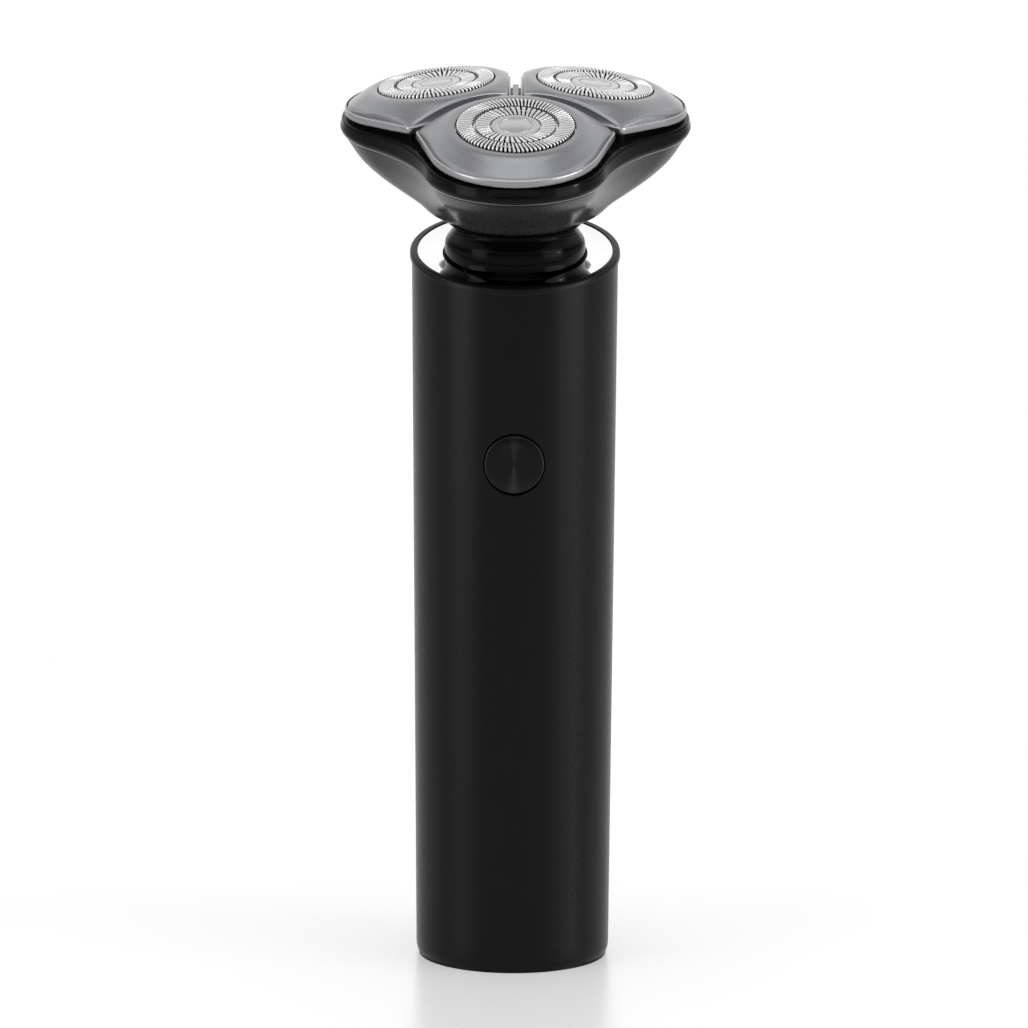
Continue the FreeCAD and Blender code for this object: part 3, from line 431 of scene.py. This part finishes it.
BY_SLOT = {
    "shell_black": shell_black, "rim_graphite": rim_graphite, "dish_mirror": mirror_metal,
    "gloss_black": gloss_black, "bowl_graphite": bowl_graphite, "petal_silver": petal_silver,
    "blade_steel": blade_steel, "button_disc": button_metal, "seal_rubber": seal_rubber,
    "frame_plastic": frame_plastic, "gear_acetal": gear_acetal, "steel_plain": steel_plain,
    "contact_metal": contact_metal, "board_green": board_green, "chip_black": chip_black,
    "cell_sleeve": cell_sleeve, "magnet_nickel": magnet_nickel, "winding_copper": winding_copper,
}
CUTTERS = ["cutter_" + name for name in LOBES]
for entry in frame["record"]["subparts"]:
    node = nodes[entry["node"]]
    # Painted shade: the cutters get the near-black steel instead of their slot's material.
    material = cutter_painted_shade if entry["node"] in CUTTERS else BY_SLOT[entry["material_slot"]]
    node.data.materials.clear()
    node.data.materials.append(material)
    for polygon in node.data.polygons:
        polygon.material_index = 0


# Handle: a drafted tube with a slanted mouth, a rim, a mirror dish and a neck

def handle_radius(z):
    return BASE_R + (TOP_R - BASE_R) * z / RIM_Z


def rim_plane(x, y, height):
    """Height at (x, y) of the plane that lies parallel above the rim plane."""
    return RIM_Z + y * math.tan(math.radians(RIM_TILT)) + height / math.cos(math.radians(RIM_TILT))


def handle():
    """Tube with a bevelled foot, cut level at the bottom and slanted at the mouth."""
    shape = Shape()
    rows = []
    for c, s in circle(ROUND_STEPS):
        top = rim_plane(TOP_R * c, TOP_R * s, -RIM_DEPTH)
        column = [(BASE_R - WALL, FOOT_Z), (BASE_R - 0.36, FOOT_Z), (BASE_R - 0.26, FOOT_Z + 0.18),
                  (BASE_R - 0.06, FOOT_Z + 0.9), (handle_radius(FOOT_TOP) - 0.005, FOOT_TOP)]
        for i in range(1, TUBE_RINGS + 1):
            z = FOOT_TOP + (top - FOOT_TOP) * i / TUBE_RINGS
            column.append((handle_radius(z), z))
        for i in range(INNER_RINGS + 1):
            z = top - (top - FOOT_Z - 0.5) * i / INNER_RINGS
            column.append((handle_radius(z) - WALL, z))
        rows.append([(r * c, r * s, z) for r, z in column])
    shape.grid(rows, loop=True)
    return finish_mesh("handle_skin", shape, shell_black, "handle", ["handle_tube"])


def carve(obj, tools):
    """Cuts closed shapes out of a piece and leaves a plain mesh."""
    for tool in tools:
        other = mesh_object("tool", tool)
        cut = obj.modifiers.new("cut", "BOOLEAN")
        cut.operation = "DIFFERENCE"
        cut.solver = "EXACT"
        cut.object = other
        bpy.context.view_layer.update()
        evaluated = obj.evaluated_get(bpy.context.evaluated_depsgraph_get())
        whole = bpy.data.meshes.new_from_object(evaluated)
        obj.modifiers.clear()
        obj.data = whole
        bpy.data.objects.remove(other)
    obj.data.shade_smooth()
    obj.data.set_sharp_from_angle(angle=math.radians(30))
    return obj


HANDLE_FRONT = -handle_radius(BUTTON_Z)


def button_bore():
    """Hole with a bevelled mouth, through the front wall."""
    shape = Shape()
    sections = [(BUTTON_HOLE_R + 1.22, -1.2), (BUTTON_HOLE_R, 0.16), (BUTTON_HOLE_R, 6.0)]
    shape.tube([[(r * c, r * s, depth) for c, s in circle(128)] for r, depth in sections],
               moved(0, HANDLE_FRONT, BUTTON_Z) @ turned("X", -90))
    return shape


def slanted_ring(profile):
    """Profile of (radius, height above the rim plane) points, carried round the handle."""
    shape = Shape()
    shape.grid([[(r * c, r * s, rim_plane(r * c, r * s, h)) for r, h in profile]
                for c, s in circle(ROUND_STEPS)], loop=True)
    return shape


def rim():
    profile = rounded([(RIM_IN_R, -RIM_DEPTH), (RIM_R, -RIM_DEPTH), (RIM_R, 0), (RIM_IN_R, 0)],
                      [0.05, 0.1, 0.55, 0.22], 6)
    shape = slanted_ring(profile)
    return finish_mesh("rim_band", shape, rim_graphite, "handle", ["rim_ring"])


def dish():
    """Mirror-bright tray inside the rim, slightly hollow and higher at its outer edge."""
    outer = RIM_IN_R - 0.04
    surface = []
    for i in range(13):
        t = i / 12
        height = DISH_LOW + DISH_RISE * t ** 2 - DISH_SAG * math.sin(math.pi * t)
        surface.append((DISH_IN_R + (outer - DISH_IN_R) * t, height))
    profile = [(outer, DISH_BOTTOM), (DISH_IN_R, DISH_BOTTOM), (DISH_IN_R, -0.8)]
    profile += surface + [(outer, -0.78)]
    shape = slanted_ring(profile)
    return finish_mesh("mirror_dish", shape, mirror_metal, "handle",
                       ["collar_dish"])


def neck():
    """Waisted sleeve between the handle and the bowl, hollow underneath."""
    outside = [(12.32, -2.7), (12.56, -1.3), (12.61, 0.0), (12.4, 1.05), (11.8, 2.0),
               (11.28, 2.8), (11.4, 3.45), (12.0, NECK_TOP)]
    inside = [(10.4, NECK_TOP), (10.4, 3.2), (8.7, 2.6), (8.7, -1.2), (11.0, -1.2), (11.0, -2.7)]
    shape = Shape()
    shape.lathe(smooth_curve(outside, 6) + inside, ROUND_STEPS, NECK)
    return finish_mesh("neck_skin", shape, neck_black, "head_base", ["neck_shell"])


def button():
    """Spun disc with a bevelled edge, its flange and its stem."""
    face = HANDLE_FRONT + BUTTON_SUNK
    flange = BUTTON_FLANGE_Y - face
    profile = [(0.0, 0.0), (1.2, 0.0), (2.4, 0.0), (3.6, 0.0), (5.06, 0.0), (5.16, 0.05),
               (5.31, 0.24), (BUTTON_R, 0.42), (BUTTON_R, flange), (6.35, flange + 0.05),
               (6.4, flange + 0.65), (1.5, flange + 0.7), (1.5, flange + 0.9), (0.0, flange + 0.9)]
    shape = Shape()
    shape.lathe(profile, 160, moved(0, face, BUTTON_Z) @ turned("X", -90), loop=False)
    obj = finish_mesh("button_disc", shape, button_metal, "button",
                      ["power_button"])
    # Painted highlight: the bevel faces get the lighter edge colour.
    obj.data.materials.append(button_bevel_highlight)
    for polygon in obj.data.polygons:
        corners = [obj.data.vertices[v].co for v in polygon.vertices]
        reach = max(math.hypot(co.x, co.z - BUTTON_Z * MM) for co in corners) / MM
        if reach > BUTTON_EDGE_R and polygon.center.y < (face + 0.5) * MM:
            polygon.material_index = 1
    return obj


carve(handle(), [button_bore()])
rim()
dish()
neck()
button()


# Three-lobed head

def polar(distance, degrees):
    """Point in the plane at that distance and direction."""
    angle = math.radians(degrees)
    return Vector((distance * math.cos(angle), distance * math.sin(angle)))


def arc(centre, radius, start, end, steps):
    """Points on an arc by its end points, the short way round, without the last one."""
    a0 = math.atan2(start.y - centre.y, start.x - centre.x)
    a1 = math.atan2(end.y - centre.y, end.x - centre.x)
    sweep = (a1 - a0 + math.pi) % (2 * math.pi) - math.pi
    return [centre + Vector((radius * math.cos(a0 + sweep * i / steps),
                             radius * math.sin(a0 + sweep * i / steps))) for i in range(steps)]


def outline(rho, radius, hollow):
    """Three lobes of one radius at distance rho, joined by hollows, as a closed list of points."""
    reach = rho / 2 + math.sqrt((radius + hollow) ** 2 - 0.75 * rho ** 2)
    points = []
    for angle in LOBES.values():
        centre, beyond = polar(rho, angle), polar(rho, angle + 120)
        before, after = polar(reach, angle - 60), polar(reach, angle + 60)
        start = centre + (before - centre).normalized() * radius
        tip = polar(rho + radius, angle)
        end = centre + (after - centre).normalized() * radius
        next_start = beyond + (after - beyond).normalized() * radius
        points += arc(centre, radius, start, tip, LOBE_STEPS)
        points += arc(centre, radius, tip, end, LOBE_STEPS)
        points += arc(after, hollow, end, next_start, WAIST_STEPS)
    return points


def band_line(offset, height):
    """Head's outline at one height, moved outward by the offset."""
    return [(p.x, p.y, height)
            for p in outline(OUTLINE_RHO, OUTLINE_R + offset, WAIST_R - offset)]


def bowl_line(half_width, rise, shrink):
    """Section of the bowl: almost round at the neck, three-lobed and leaning at the seam."""
    narrowest, widest, top = BOWL[0][0], *BOWL[-1]
    share = rise / top
    grown = max(0.0, (half_width - narrowest) / (widest - narrowest))
    rho = BOWL_CORE_RHO + (OUTLINE_RHO - BOWL_CORE_RHO) * grown ** BOWL_GROWTH
    radius = half_width - rho * math.cos(math.radians(30)) - shrink
    low = NECK @ Vector((0, 0, NECK_TOP))
    high = HEAD @ Vector((0, 0, BOWL_TOP))
    lean = NECK_TILT + (TILT - NECK_TILT) * share
    place = Matrix.Translation(low.lerp(high, share)) @ turned("X", lean)
    return [place @ Vector((p.x, p.y, 0)) for p in outline(rho, radius, WAIST_R + shrink)]


def bowl():
    """Skin from the level neck to the leaning seam, with a turned-in lip at the seam."""
    shape = Shape()
    profile = smooth_curve(BOWL, 7)
    rows = [bowl_line(half, rise, 0) for half, rise in profile]
    widest = BOWL[-1][0]
    rows.append(bowl_line(widest, SEAM_RISE, SEAM_STEP))
    rows.append(bowl_line(widest, SEAM_RISE, BOWL_WALL))
    rows += [bowl_line(max(half - BOWL_WALL, BOWL_MOUTH_R), rise + BOWL_FLOOR, 0)
             for half, rise in reversed(profile[:-8:4])]
    shape.grid(rows, loop=True)
    return finish_mesh("bowl_skin", shape, bowl_graphite, "head_base",
                       ["head_bowl"], sharp=50)


def deck_height(x, y):
    """The deck slopes down along each lobe; each third of the head has its own plane."""
    along = max(polar(1, angle).dot(Vector((x, y))) for angle in LOBES.values())
    return BAND_TOP + (DECK_EDGE - along) * BAND_SLOPE


def band():
    """Band whose bevelled lower edge gets a lighter colour as a painted highlight, with its deck,
    the cutter wells and a notch at the front.
    """
    shape = Shape()
    profile = [(-BAND_WALL, BAND_BOTTOM), (0.02, BAND_BOTTOM), (0.1, BAND_BOTTOM + 0.02),
               (0.34, BAND_BOTTOM + 0.36), (0.5, BAND_BOTTOM + 0.5), (0.72, 20.3), (0.745, 20.42),
               (0.73, BAND_WIDEST)]
    highlight_row = 2
    rows = [band_line(offset, height) for offset, height in profile]
    for share in (0.25, 0.5, 0.75, 1.0):
        row = []
        for x, y, z in band_line(0.73 - 0.31 * share, 0):
            top = deck_height(x, y) - 0.14
            row.append((x, y, BAND_WIDEST + (top - BAND_WIDEST) * share))
        rows.append(row)
    for offset, drop in [(0.38, 0.05), (0.28, 0.0), (-0.6, 0.0)]:
        rows.append([(x, y, deck_height(x, y) - drop) for x, y, z in band_line(offset, 0)])
    start = shape.grid(rows)
    count = len(rows[0])
    hub = len(shape.verts)
    shape.verts.append(Vector((0, 0, deck_height(0, 0))))
    last = start + (len(rows) - 1) * count
    for j in range(count):
        shape.faces.append((last + j, last + (j + 1) % count, hub))
    shape.cap(start, count, True)
    shape.verts = [HEAD @ v for v in shape.verts]
    obj = finish_mesh("band_skin", shape, band_black, "shaving_unit", ["head_band"])
    # Painted highlight: the band's bevelled lower row gets the lighter edge colour.
    obj.data.materials.append(band_edge_highlight)
    for index in range(highlight_row * count, (highlight_row + 1) * count):
        obj.data.polygons[index].material_index = 1
    cavity = Shape()
    cavity.tube([band_line(-BAND_WALL, 18.0), band_line(-BAND_WALL, BAND_TOP - BAND_DECK)], HEAD)
    tools = [cavity]
    for angle in LOBES.values():
        well = Shape()
        well.tube([[(RING_RHO + WELL_R * c, WELL_R * s, z) for c, s in circle(96)]
                   for z in (15, 30)], lobe(angle))
        tools.append(well)
    front = OUTLINE_RHO + OUTLINE_R + 0.75
    notch = Shape()
    notch.block((-NOTCH_HALF, -front - 5, BAND_TOP - NOTCH_LOW),
                (NOTCH_HALF, -front + NOTCH_DEPTH, BAND_TOP + 2), 0.25, HEAD)
    tools.append(notch)
    return carve(obj, tools)


bowl()
band()


# Petals, which hold the cutter guards

def petal_line(inset):
    """Petal's outline in the lobe's frame, moved inward by the inset, as a dense list of points."""
    gap = GAP / 2 + inset
    radius = PETAL_R - inset
    slope, flare = math.radians(60), math.radians(PETAL_FLARE)
    apex = Vector((gap / math.sin(slope), 0))
    shoulder = Vector((PETAL_RHO + radius * math.sin(flare), radius * math.cos(flare)))
    below = shoulder.y - (shoulder.x - apex.x) * math.tan(slope)
    run = below / (math.tan(slope) + math.tan(flare))
    corner = Vector((shoulder.x + run, shoulder.y - run * math.tan(flare)))
    trim = CORNER_TRIM * math.tan((math.radians(120) - slope - flare) / 2 + math.radians(2))
    on_wedge = corner + (apex - corner).normalized() * trim
    on_flare = corner + (shoulder - corner).normalized() * trim
    bend = []
    for i in range(13):
        t = i / 12
        bend.append(on_wedge * (1 - t) ** 2 + corner * 2 * t * (1 - t) + on_flare * t * t)
    centre = Vector((PETAL_RHO, 0))
    a0 = math.radians(90 - PETAL_FLARE)
    round_end = [centre + Vector((radius * math.cos(a0 * (1 - 2 * i / 96)),
                                  radius * math.sin(a0 * (1 - 2 * i / 96)))) for i in range(97)]
    lower = [Vector((p.x, -p.y)) for p in reversed(bend)]
    return [apex] + bend + round_end + lower


def reach_of(line, c, s):
    """How far a ray from the ring's centre, in direction (c, s), goes inside the outline."""
    origin = Vector((RING_RHO, 0))
    ray = Vector((c, s))
    best = 0.0
    for i, start in enumerate(line):
        along = line[(i + 1) % len(line)] - start
        cross = ray.x * along.y - ray.y * along.x
        if abs(cross) < 1e-12:
            continue
        gap = start - origin
        t = (gap.x * along.y - gap.y * along.x) / cross
        u = (gap.x * ray.y - gap.y * ray.x) / cross
        if t > 0 and -1e-9 <= u <= 1 + 1e-9:
            best = max(best, t)
    return best


# Height of the petals' dome by the distance from the ring's axis
DOME = smooth_curve([(10.65, 0.0), (11.3, 0.0), (11.9, -0.03), (12.6, -0.22), (13.4, -0.58),
                     (15.0, -1.5), (17.0, -2.66), (20.0, -4.4), (24.0, -6.7)], 8)


def dome_drop(radius):
    for (r0, h0), (r1, h1) in zip(DOME, DOME[1:]):
        if radius <= r1:
            return h0 + (h1 - h0) * max(0.0, radius - r0) / (r1 - r0)
    return DOME[-1][1]


def dome_point(x, y, lower=0.0):
    """Point of the dome, or of its underside, above (x, y) in the lobe's frame."""
    tilt = math.radians(LOBE_TILT)
    dx = x - RING_RHO
    w = -lower
    for attempt in range(4):
        dz = (w - dx * math.sin(tilt)) / math.cos(tilt)
        u = dx * math.cos(tilt) - dz * math.sin(tilt)
        w = dome_drop(math.hypot(u, y)) - lower
    return (x, y, RING_H + (w - dx * math.sin(tilt)) / math.cos(tilt))


def well_point(radius, height, c, s):
    """Point on a circle about the ring's axis, in the lobe's frame."""
    tilt = math.radians(LOBE_TILT)
    u, v = radius * c, radius * s
    return (RING_RHO + u * math.cos(tilt) + height * math.sin(tilt), v,
            RING_H - u * math.sin(tilt) + height * math.cos(tilt))


def lip_height(x, above):
    """Height above the petal's lower lip, which rises towards the head's axis."""
    return LIP_LOW + (LIP_TIP - x) * LIP_SLOPE + above


def petal_rows():
    """Sections through a petal, one for each direction from the ring's centre."""
    edge_insets = [(LEDGE + 0.22, 0.02), (LEDGE + 0.1, 0.1), (LEDGE + 0.03, 0.2), (LEDGE, 0.36)]
    lip_insets = [(0.2, 0.02), (0.1, 0.05), (0.03, 0.14), (0.0, 0.28)]
    insets = [inset for inset, drop in edge_insets + lip_insets] + [LEDGE + 0.4, SKIRT]
    lines = {inset: petal_line(inset) for inset in insets}
    rows = []
    for c, s in circle(PETAL_STEPS):
        far = {inset: reach_of(line, c, s) for inset, line in lines.items()}
        spots = {inset: (RING_RHO + reach * c, reach * s) for inset, reach in far.items()}
        row = [well_point(GUARD_R + 0.25, -1.0, c, s), well_point(GUARD_R + 0.25, -0.14, c, s),
               well_point(GUARD_R + 0.29, -0.04, c, s), well_point(GUARD_R + 0.38, 0.0, c, s)]
        for i in range(DOME_RINGS):
            d = DOME_START + (far[LEDGE + 0.4] - DOME_START) * i / (DOME_RINGS - 1)
            row.append(dome_point(RING_RHO + d * c, d * s))
        edge_x, edge_y = spots[LEDGE]
        edge = dome_point(edge_x, edge_y)[2]
        for inset, drop in edge_insets:
            row.append((*spots[inset], edge - drop))
        row.append((edge_x, edge_y, lip_height(edge_x, LIP_HEIGHT) + 0.1))
        for inset, drop in lip_insets:
            x, y = spots[inset]
            row.append((x, y, lip_height(x, LIP_HEIGHT) - drop))
        for inset, above in [(0.0, 0.12), (0.1, 0.0), (SKIRT, 0.0)]:
            x, y = spots[inset]
            row.append((x, y, lip_height(x, above)))
        row.append((x, y, max(lip_height(x, 0.1), dome_point(x, y, SKIN_THICK)[2] - 0.1)))
        row.append(dome_point(RING_RHO + 12.0 * c, 12.0 * s, SKIN_THICK))
        rows.append(row)
    return rows


def pin_posts():
    """Raised floors under the petals, round the cutter wells, with the hinge posts and pins."""
    shape = Shape()
    edge = petal_line(FLOOR_INSET)
    low = BAND_TOP - 0.5
    for lobe_angle in LOBES.values():
        place = lobe(lobe_angle)
        rows = []
        for c, s in circle(144):
            far = reach_of(edge, c, s)
            x = RING_RHO + far * c
            top = lip_height(x, 0.35) - max(0.0, x - RING_RHO) * 0.055
            section = [(FLOOR_R, low), (far, low), (far, top), (12.5, FLOOR_TOP),
                       (FLOOR_R, FLOOR_TOP)]
            rows.append([(RING_RHO + r * c, r * s, h) for r, h in section])
        shape.grid(rows, loop=True, place=place)
        for side in (-1, 1):
            inner, outer = sorted((side * 12.7, side * 14.1))
            shape.block((RING_RHO - 1.2, inner, HINGE_H - 1.0),
                        (RING_RHO + 1.2, outer, HINGE_H + 1.0), 0.15, place)
            pin = [[(RING_RHO + PIN_R * c, side * y, HINGE_H + PIN_R * s) for c, s in circle(24)]
                   for y in (12.4, 15.5)]
            shape.tube(pin, place)
    return finish_mesh("pin_posts", shape, band_black, "shaving_unit",
                       ["petal_pins"])


PETAL_ROWS = petal_rows()
pin_posts()


def petal(name):
    """Domed skin with a painted highlight on its outer edge and a tab for each hinge pin."""
    shape = Shape()
    place = lobe(LOBES[name])
    shape.grid(PETAL_ROWS, loop=True, place=place)
    for side in (-1, 1):
        inner, outer = sorted((side * 14.7, side * 15.05))
        shape.block((RING_RHO - 1.0, inner, HINGE_H - 0.75),
                    (RING_RHO + 1.0, outer, HINGE_H + 1.2), 0.1, place)
    obj = finish_mesh("petal_skin_" + name, shape, petal_silver, "petal_" + name,
                      ["petal_" + name], sharp=60)
    # Painted highlight: the lip faces get the lighter edge colour.
    obj.data.materials.append(petal_edge_highlight)
    count = len(PETAL_ROWS[0])
    for index in range(len(PETAL_ROWS) * count):
        if index % count in LEDGE_HIGHLIGHT_FACES:
            obj.data.polygons[index].material_index = 1
    return obj


def bar_row(centre, normal, side, half, thick):
    """Section of one guard bar: rounded on top, flat below."""
    shoulder = min(0.08, half * 0.45)
    spots = [(-half, -thick), (-half, -0.11), (-half + shoulder * 0.4, -0.04),
             (-half + shoulder, -0.01), (0, 0), (half - shoulder, -0.01),
             (half - shoulder * 0.4, -0.04), (half, -0.11), (half, -thick)]
    return [centre + side * across + normal * up for across, up in spots]


def track(shape, path, count, share, skew, thick, place):
    """Ring of bars that follow a path of (radius, height) points and lean by skew degrees; a bar
    takes up that share of its pitch."""
    path = [Vector((r, h)) for r, h in path]
    for step in range(count):
        start = 2 * math.pi * step / count
        rows = []
        for i, point in enumerate(path):
            before, after = path[max(i - 1, 0)], path[min(i + 1, len(path) - 1)]
            run = (after - before).normalized()
            lift = Vector((-run.y, run.x))
            angle = start + math.tan(math.radians(skew)) * math.log(point.x / path[0].x)
            out = Vector((math.cos(angle), math.sin(angle), 0))
            side = Vector((-math.sin(angle), math.cos(angle), 0))
            normal = out * lift.x + Vector((0, 0, lift.y))
            centre = out * point.x + Vector((0, 0, point.y))
            half = math.pi * point.x / count * share
            rows.append(bar_row(centre, normal, side, half, thick))
        shape.tube(rows, place)


# Radius and height from the seat: the two rings of bars, the hub with its engraved circle, and
# the plain rings under the bars as (inner radius, outer radius, bottom, top)
OUTER_PATH = [(7.64, -0.62), (7.64, 0.1), (7.66, 0.33), (7.74, 0.46), (7.9, 0.52), (8.4, 0.545),
              (9.2, 0.545), (9.9, 0.52), (10.14, 0.46), (10.3, 0.32), (10.37, 0.1), (10.4, -0.3),
              (10.4, -1.08)]
INNER_PATH = [(4.52, -0.55), (4.52, 0.04), (4.56, 0.14), (4.68, 0.2), (5.2, 0.26), (6.0, 0.33),
              (6.7, 0.385), (6.92, 0.38), (7.03, 0.3), (7.07, 0.16), (7.08, -0.55)]
HUB = [(0.0, 0.12), (2.7, 0.12), (2.76, 0.09), (2.8, -0.02), (2.95, -0.02), (2.99, 0.09),
       (3.05, 0.12), (4.1, 0.12), (4.22, 0.09), (4.28, 0.0), (4.3, -0.34), (0.0, -0.34)]
PLAIN_RINGS = [(10.02, 11.4, -1.55, -1.12), (7.1, 7.62, -0.62, -0.5), (4.3, 4.9, -0.6, -0.42)]


def guard(name):
    """Steel guard: two rings of bars, the plain rings that carry them, and the hub."""
    shape = Shape()
    place = seat(LOBES[name])
    track(shape, OUTER_PATH, 84, 0.52, 10.0, 0.42, place)
    track(shape, INNER_PATH, 42, 0.62, 12.0, 0.4, place)
    shape.lathe(HUB, 96, place, loop=False)
    for inner, outer, low, high in PLAIN_RINGS:
        corners = [(inner, low), (outer, low), (outer, high), (inner, high)]
        shape.lathe(rounded(corners, [0.04] * 4, 2), 128, place)
    obj = finish_mesh("guard_steel_" + name, shape, blade_steel, "petal_" + name,
                      ["guard_" + name], sharp=50)
    obj.data.materials.append(blade_hub)
    middle = place.to_translation() * MM
    for polygon in obj.data.polygons:
        if (polygon.center - middle).length < HUB_R * MM:
            polygon.material_index = 1
    return obj


for lobe_name in LOBES:
    petal(lobe_name)
    guard(lobe_name)


def rib():
    """Three-armed rib between the petals."""
    points = []
    for angle in LOBES.values():
        along, across = polar(1, angle + 60), polar(1, angle + 150)
        notch = polar(RIB_HALF / math.sin(math.radians(60)), angle + 120)
        tip = along * RIB_REACH
        points += [tip - across * RIB_HALF, tip + across * RIB_HALF, notch]
    shape = Shape()
    rows = []
    for level, inset in [(0.0, 0.0), (0.9, 0.0), (0.96, 0.06), (1.0, 0.2)]:
        row = []
        for point in points:
            low = deck_height(point.x, point.y)
            size = point.length
            near = point * ((size - inset) / size)
            row.append((near.x, near.y, low + (RIB_TOP - low) * level))
        rows.append(row)
    shape.tube(rows, HEAD)
    return finish_mesh("divider_rib", shape, petal_silver, "shaving_unit",
                       ["divider_frame"])


rib()


# Studio

def add_light(name, place, target, size, power, size_y=None):
    """Area light aimed at the target; square unless size_y is given."""
    data = bpy.data.lights.new(name, "AREA")
    data.energy = power
    data.size = size
    if size_y:
        data.shape = "RECTANGLE"
        data.size_y = size_y
    obj = bpy.data.objects.new(name, data)
    obj.location = place
    obj.rotation_euler = (Vector(target) - Vector(place)).to_track_quat("-Z", "Y").to_euler()
    bpy.context.scene.collection.objects.link(obj)


floor_mesh = bpy.data.meshes.new("studio_floor")
floor_mesh.from_pydata([(-6, -6, 0), (6, -6, 0), (6, 6, 0), (-6, 6, 0)], [], [(0, 1, 2, 3)])
floor = bpy.data.objects.new("studio_floor", floor_mesh)
bpy.context.scene.collection.objects.link(floor)
floor_white = finish("floor_white", (0.6, 0.6, 0.6), 0.28, 20, 0.0, 0.0, 0.01,
                     Emission_Color=(1, 1, 1, 1), Emission_Strength=0.27)
floor_mesh.materials.append(floor_white)

world = bpy.data.worlds.new("studio")
bpy.context.scene.world = world
world.use_nodes = True
# The sky is the brighter of a backdrop behind the object and a soft ceiling; the sides, the
# front and the ground stay dim.
tree = world.node_tree
direction = tree.nodes.new("ShaderNodeTexCoord")
parts = tree.nodes.new("ShaderNodeSeparateXYZ")
tree.links.new(direction.outputs["Generated"], parts.inputs["Vector"])


def sky_level(axis, stops):
    """Grey level by one component of the direction, given as (component, level) stops."""
    ramp = tree.nodes.new("ShaderNodeValToRGB")
    scale = tree.nodes.new("ShaderNodeMapRange")
    scale.inputs["From Min"].default_value = -1
    tree.links.new(parts.outputs[axis], scale.inputs["Value"])
    tree.links.new(scale.outputs["Result"], ramp.inputs["Fac"])
    fill_ramp(ramp, [((component + 1) / 2, (level,) * 3) for component, level in stops])
    return ramp.outputs["Color"]


backdrop = sky_level("Y", [(-1, 0.12), (0.0, 0.16), (0.75, 0.25), (0.93, 1.25), (1.0, 1.3)])
ceiling = sky_level("Z", [(-1, 0.1), (0.15, 0.15), (0.5, 1.1), (0.78, 1.0), (0.92, 0.42),
                          (1.0, 0.38)])
brighter = tree.nodes.new("ShaderNodeMath")
brighter.operation = "MAXIMUM"
tree.links.new(backdrop, brighter.inputs[0])
tree.links.new(ceiling, brighter.inputs[1])
tree.links.new(brighter.outputs["Value"], tree.nodes["Background"].inputs["Color"])

add_light("left_box", (-0.75, -0.42, 0.16), (0, 0, 0.09), 0.4, 2.8, 0.8)
add_light("right_box", (0.75, -0.34, 0.16), (0, 0, 0.09), 0.5, 3.2, 0.8)
add_light("right_spark", (0.78, -0.2, 0.2), (0, 0, 0.13), 0.05, 0.5)
add_light("top_box", (0.0, -0.12, 0.9), (0, 0, 0.15), 0.5, 0.9)

bpy.context.scene.view_settings.view_transform = "Standard"

camera_data = bpy.data.cameras.new("camera")
camera_data.sensor_width = 36
camera_data.lens = LENS
camera_data.clip_start = 0.01
camera = bpy.data.objects.new("camera", camera_data)
pitch = math.radians(CAMERA_PITCH)
camera.location = (0, -CAMERA_DISTANCE * math.cos(pitch),
                   CAMERA_AIM + CAMERA_DISTANCE * math.sin(pitch))
camera.rotation_euler = (Matrix.Rotation(math.pi / 2 - pitch, 4, "X")
                         @ turned("Z", CAMERA_ROLL)).to_euler()
bpy.context.scene.collection.objects.link(camera)
bpy.context.scene.camera = camera

bpy.context.view_layer.update()
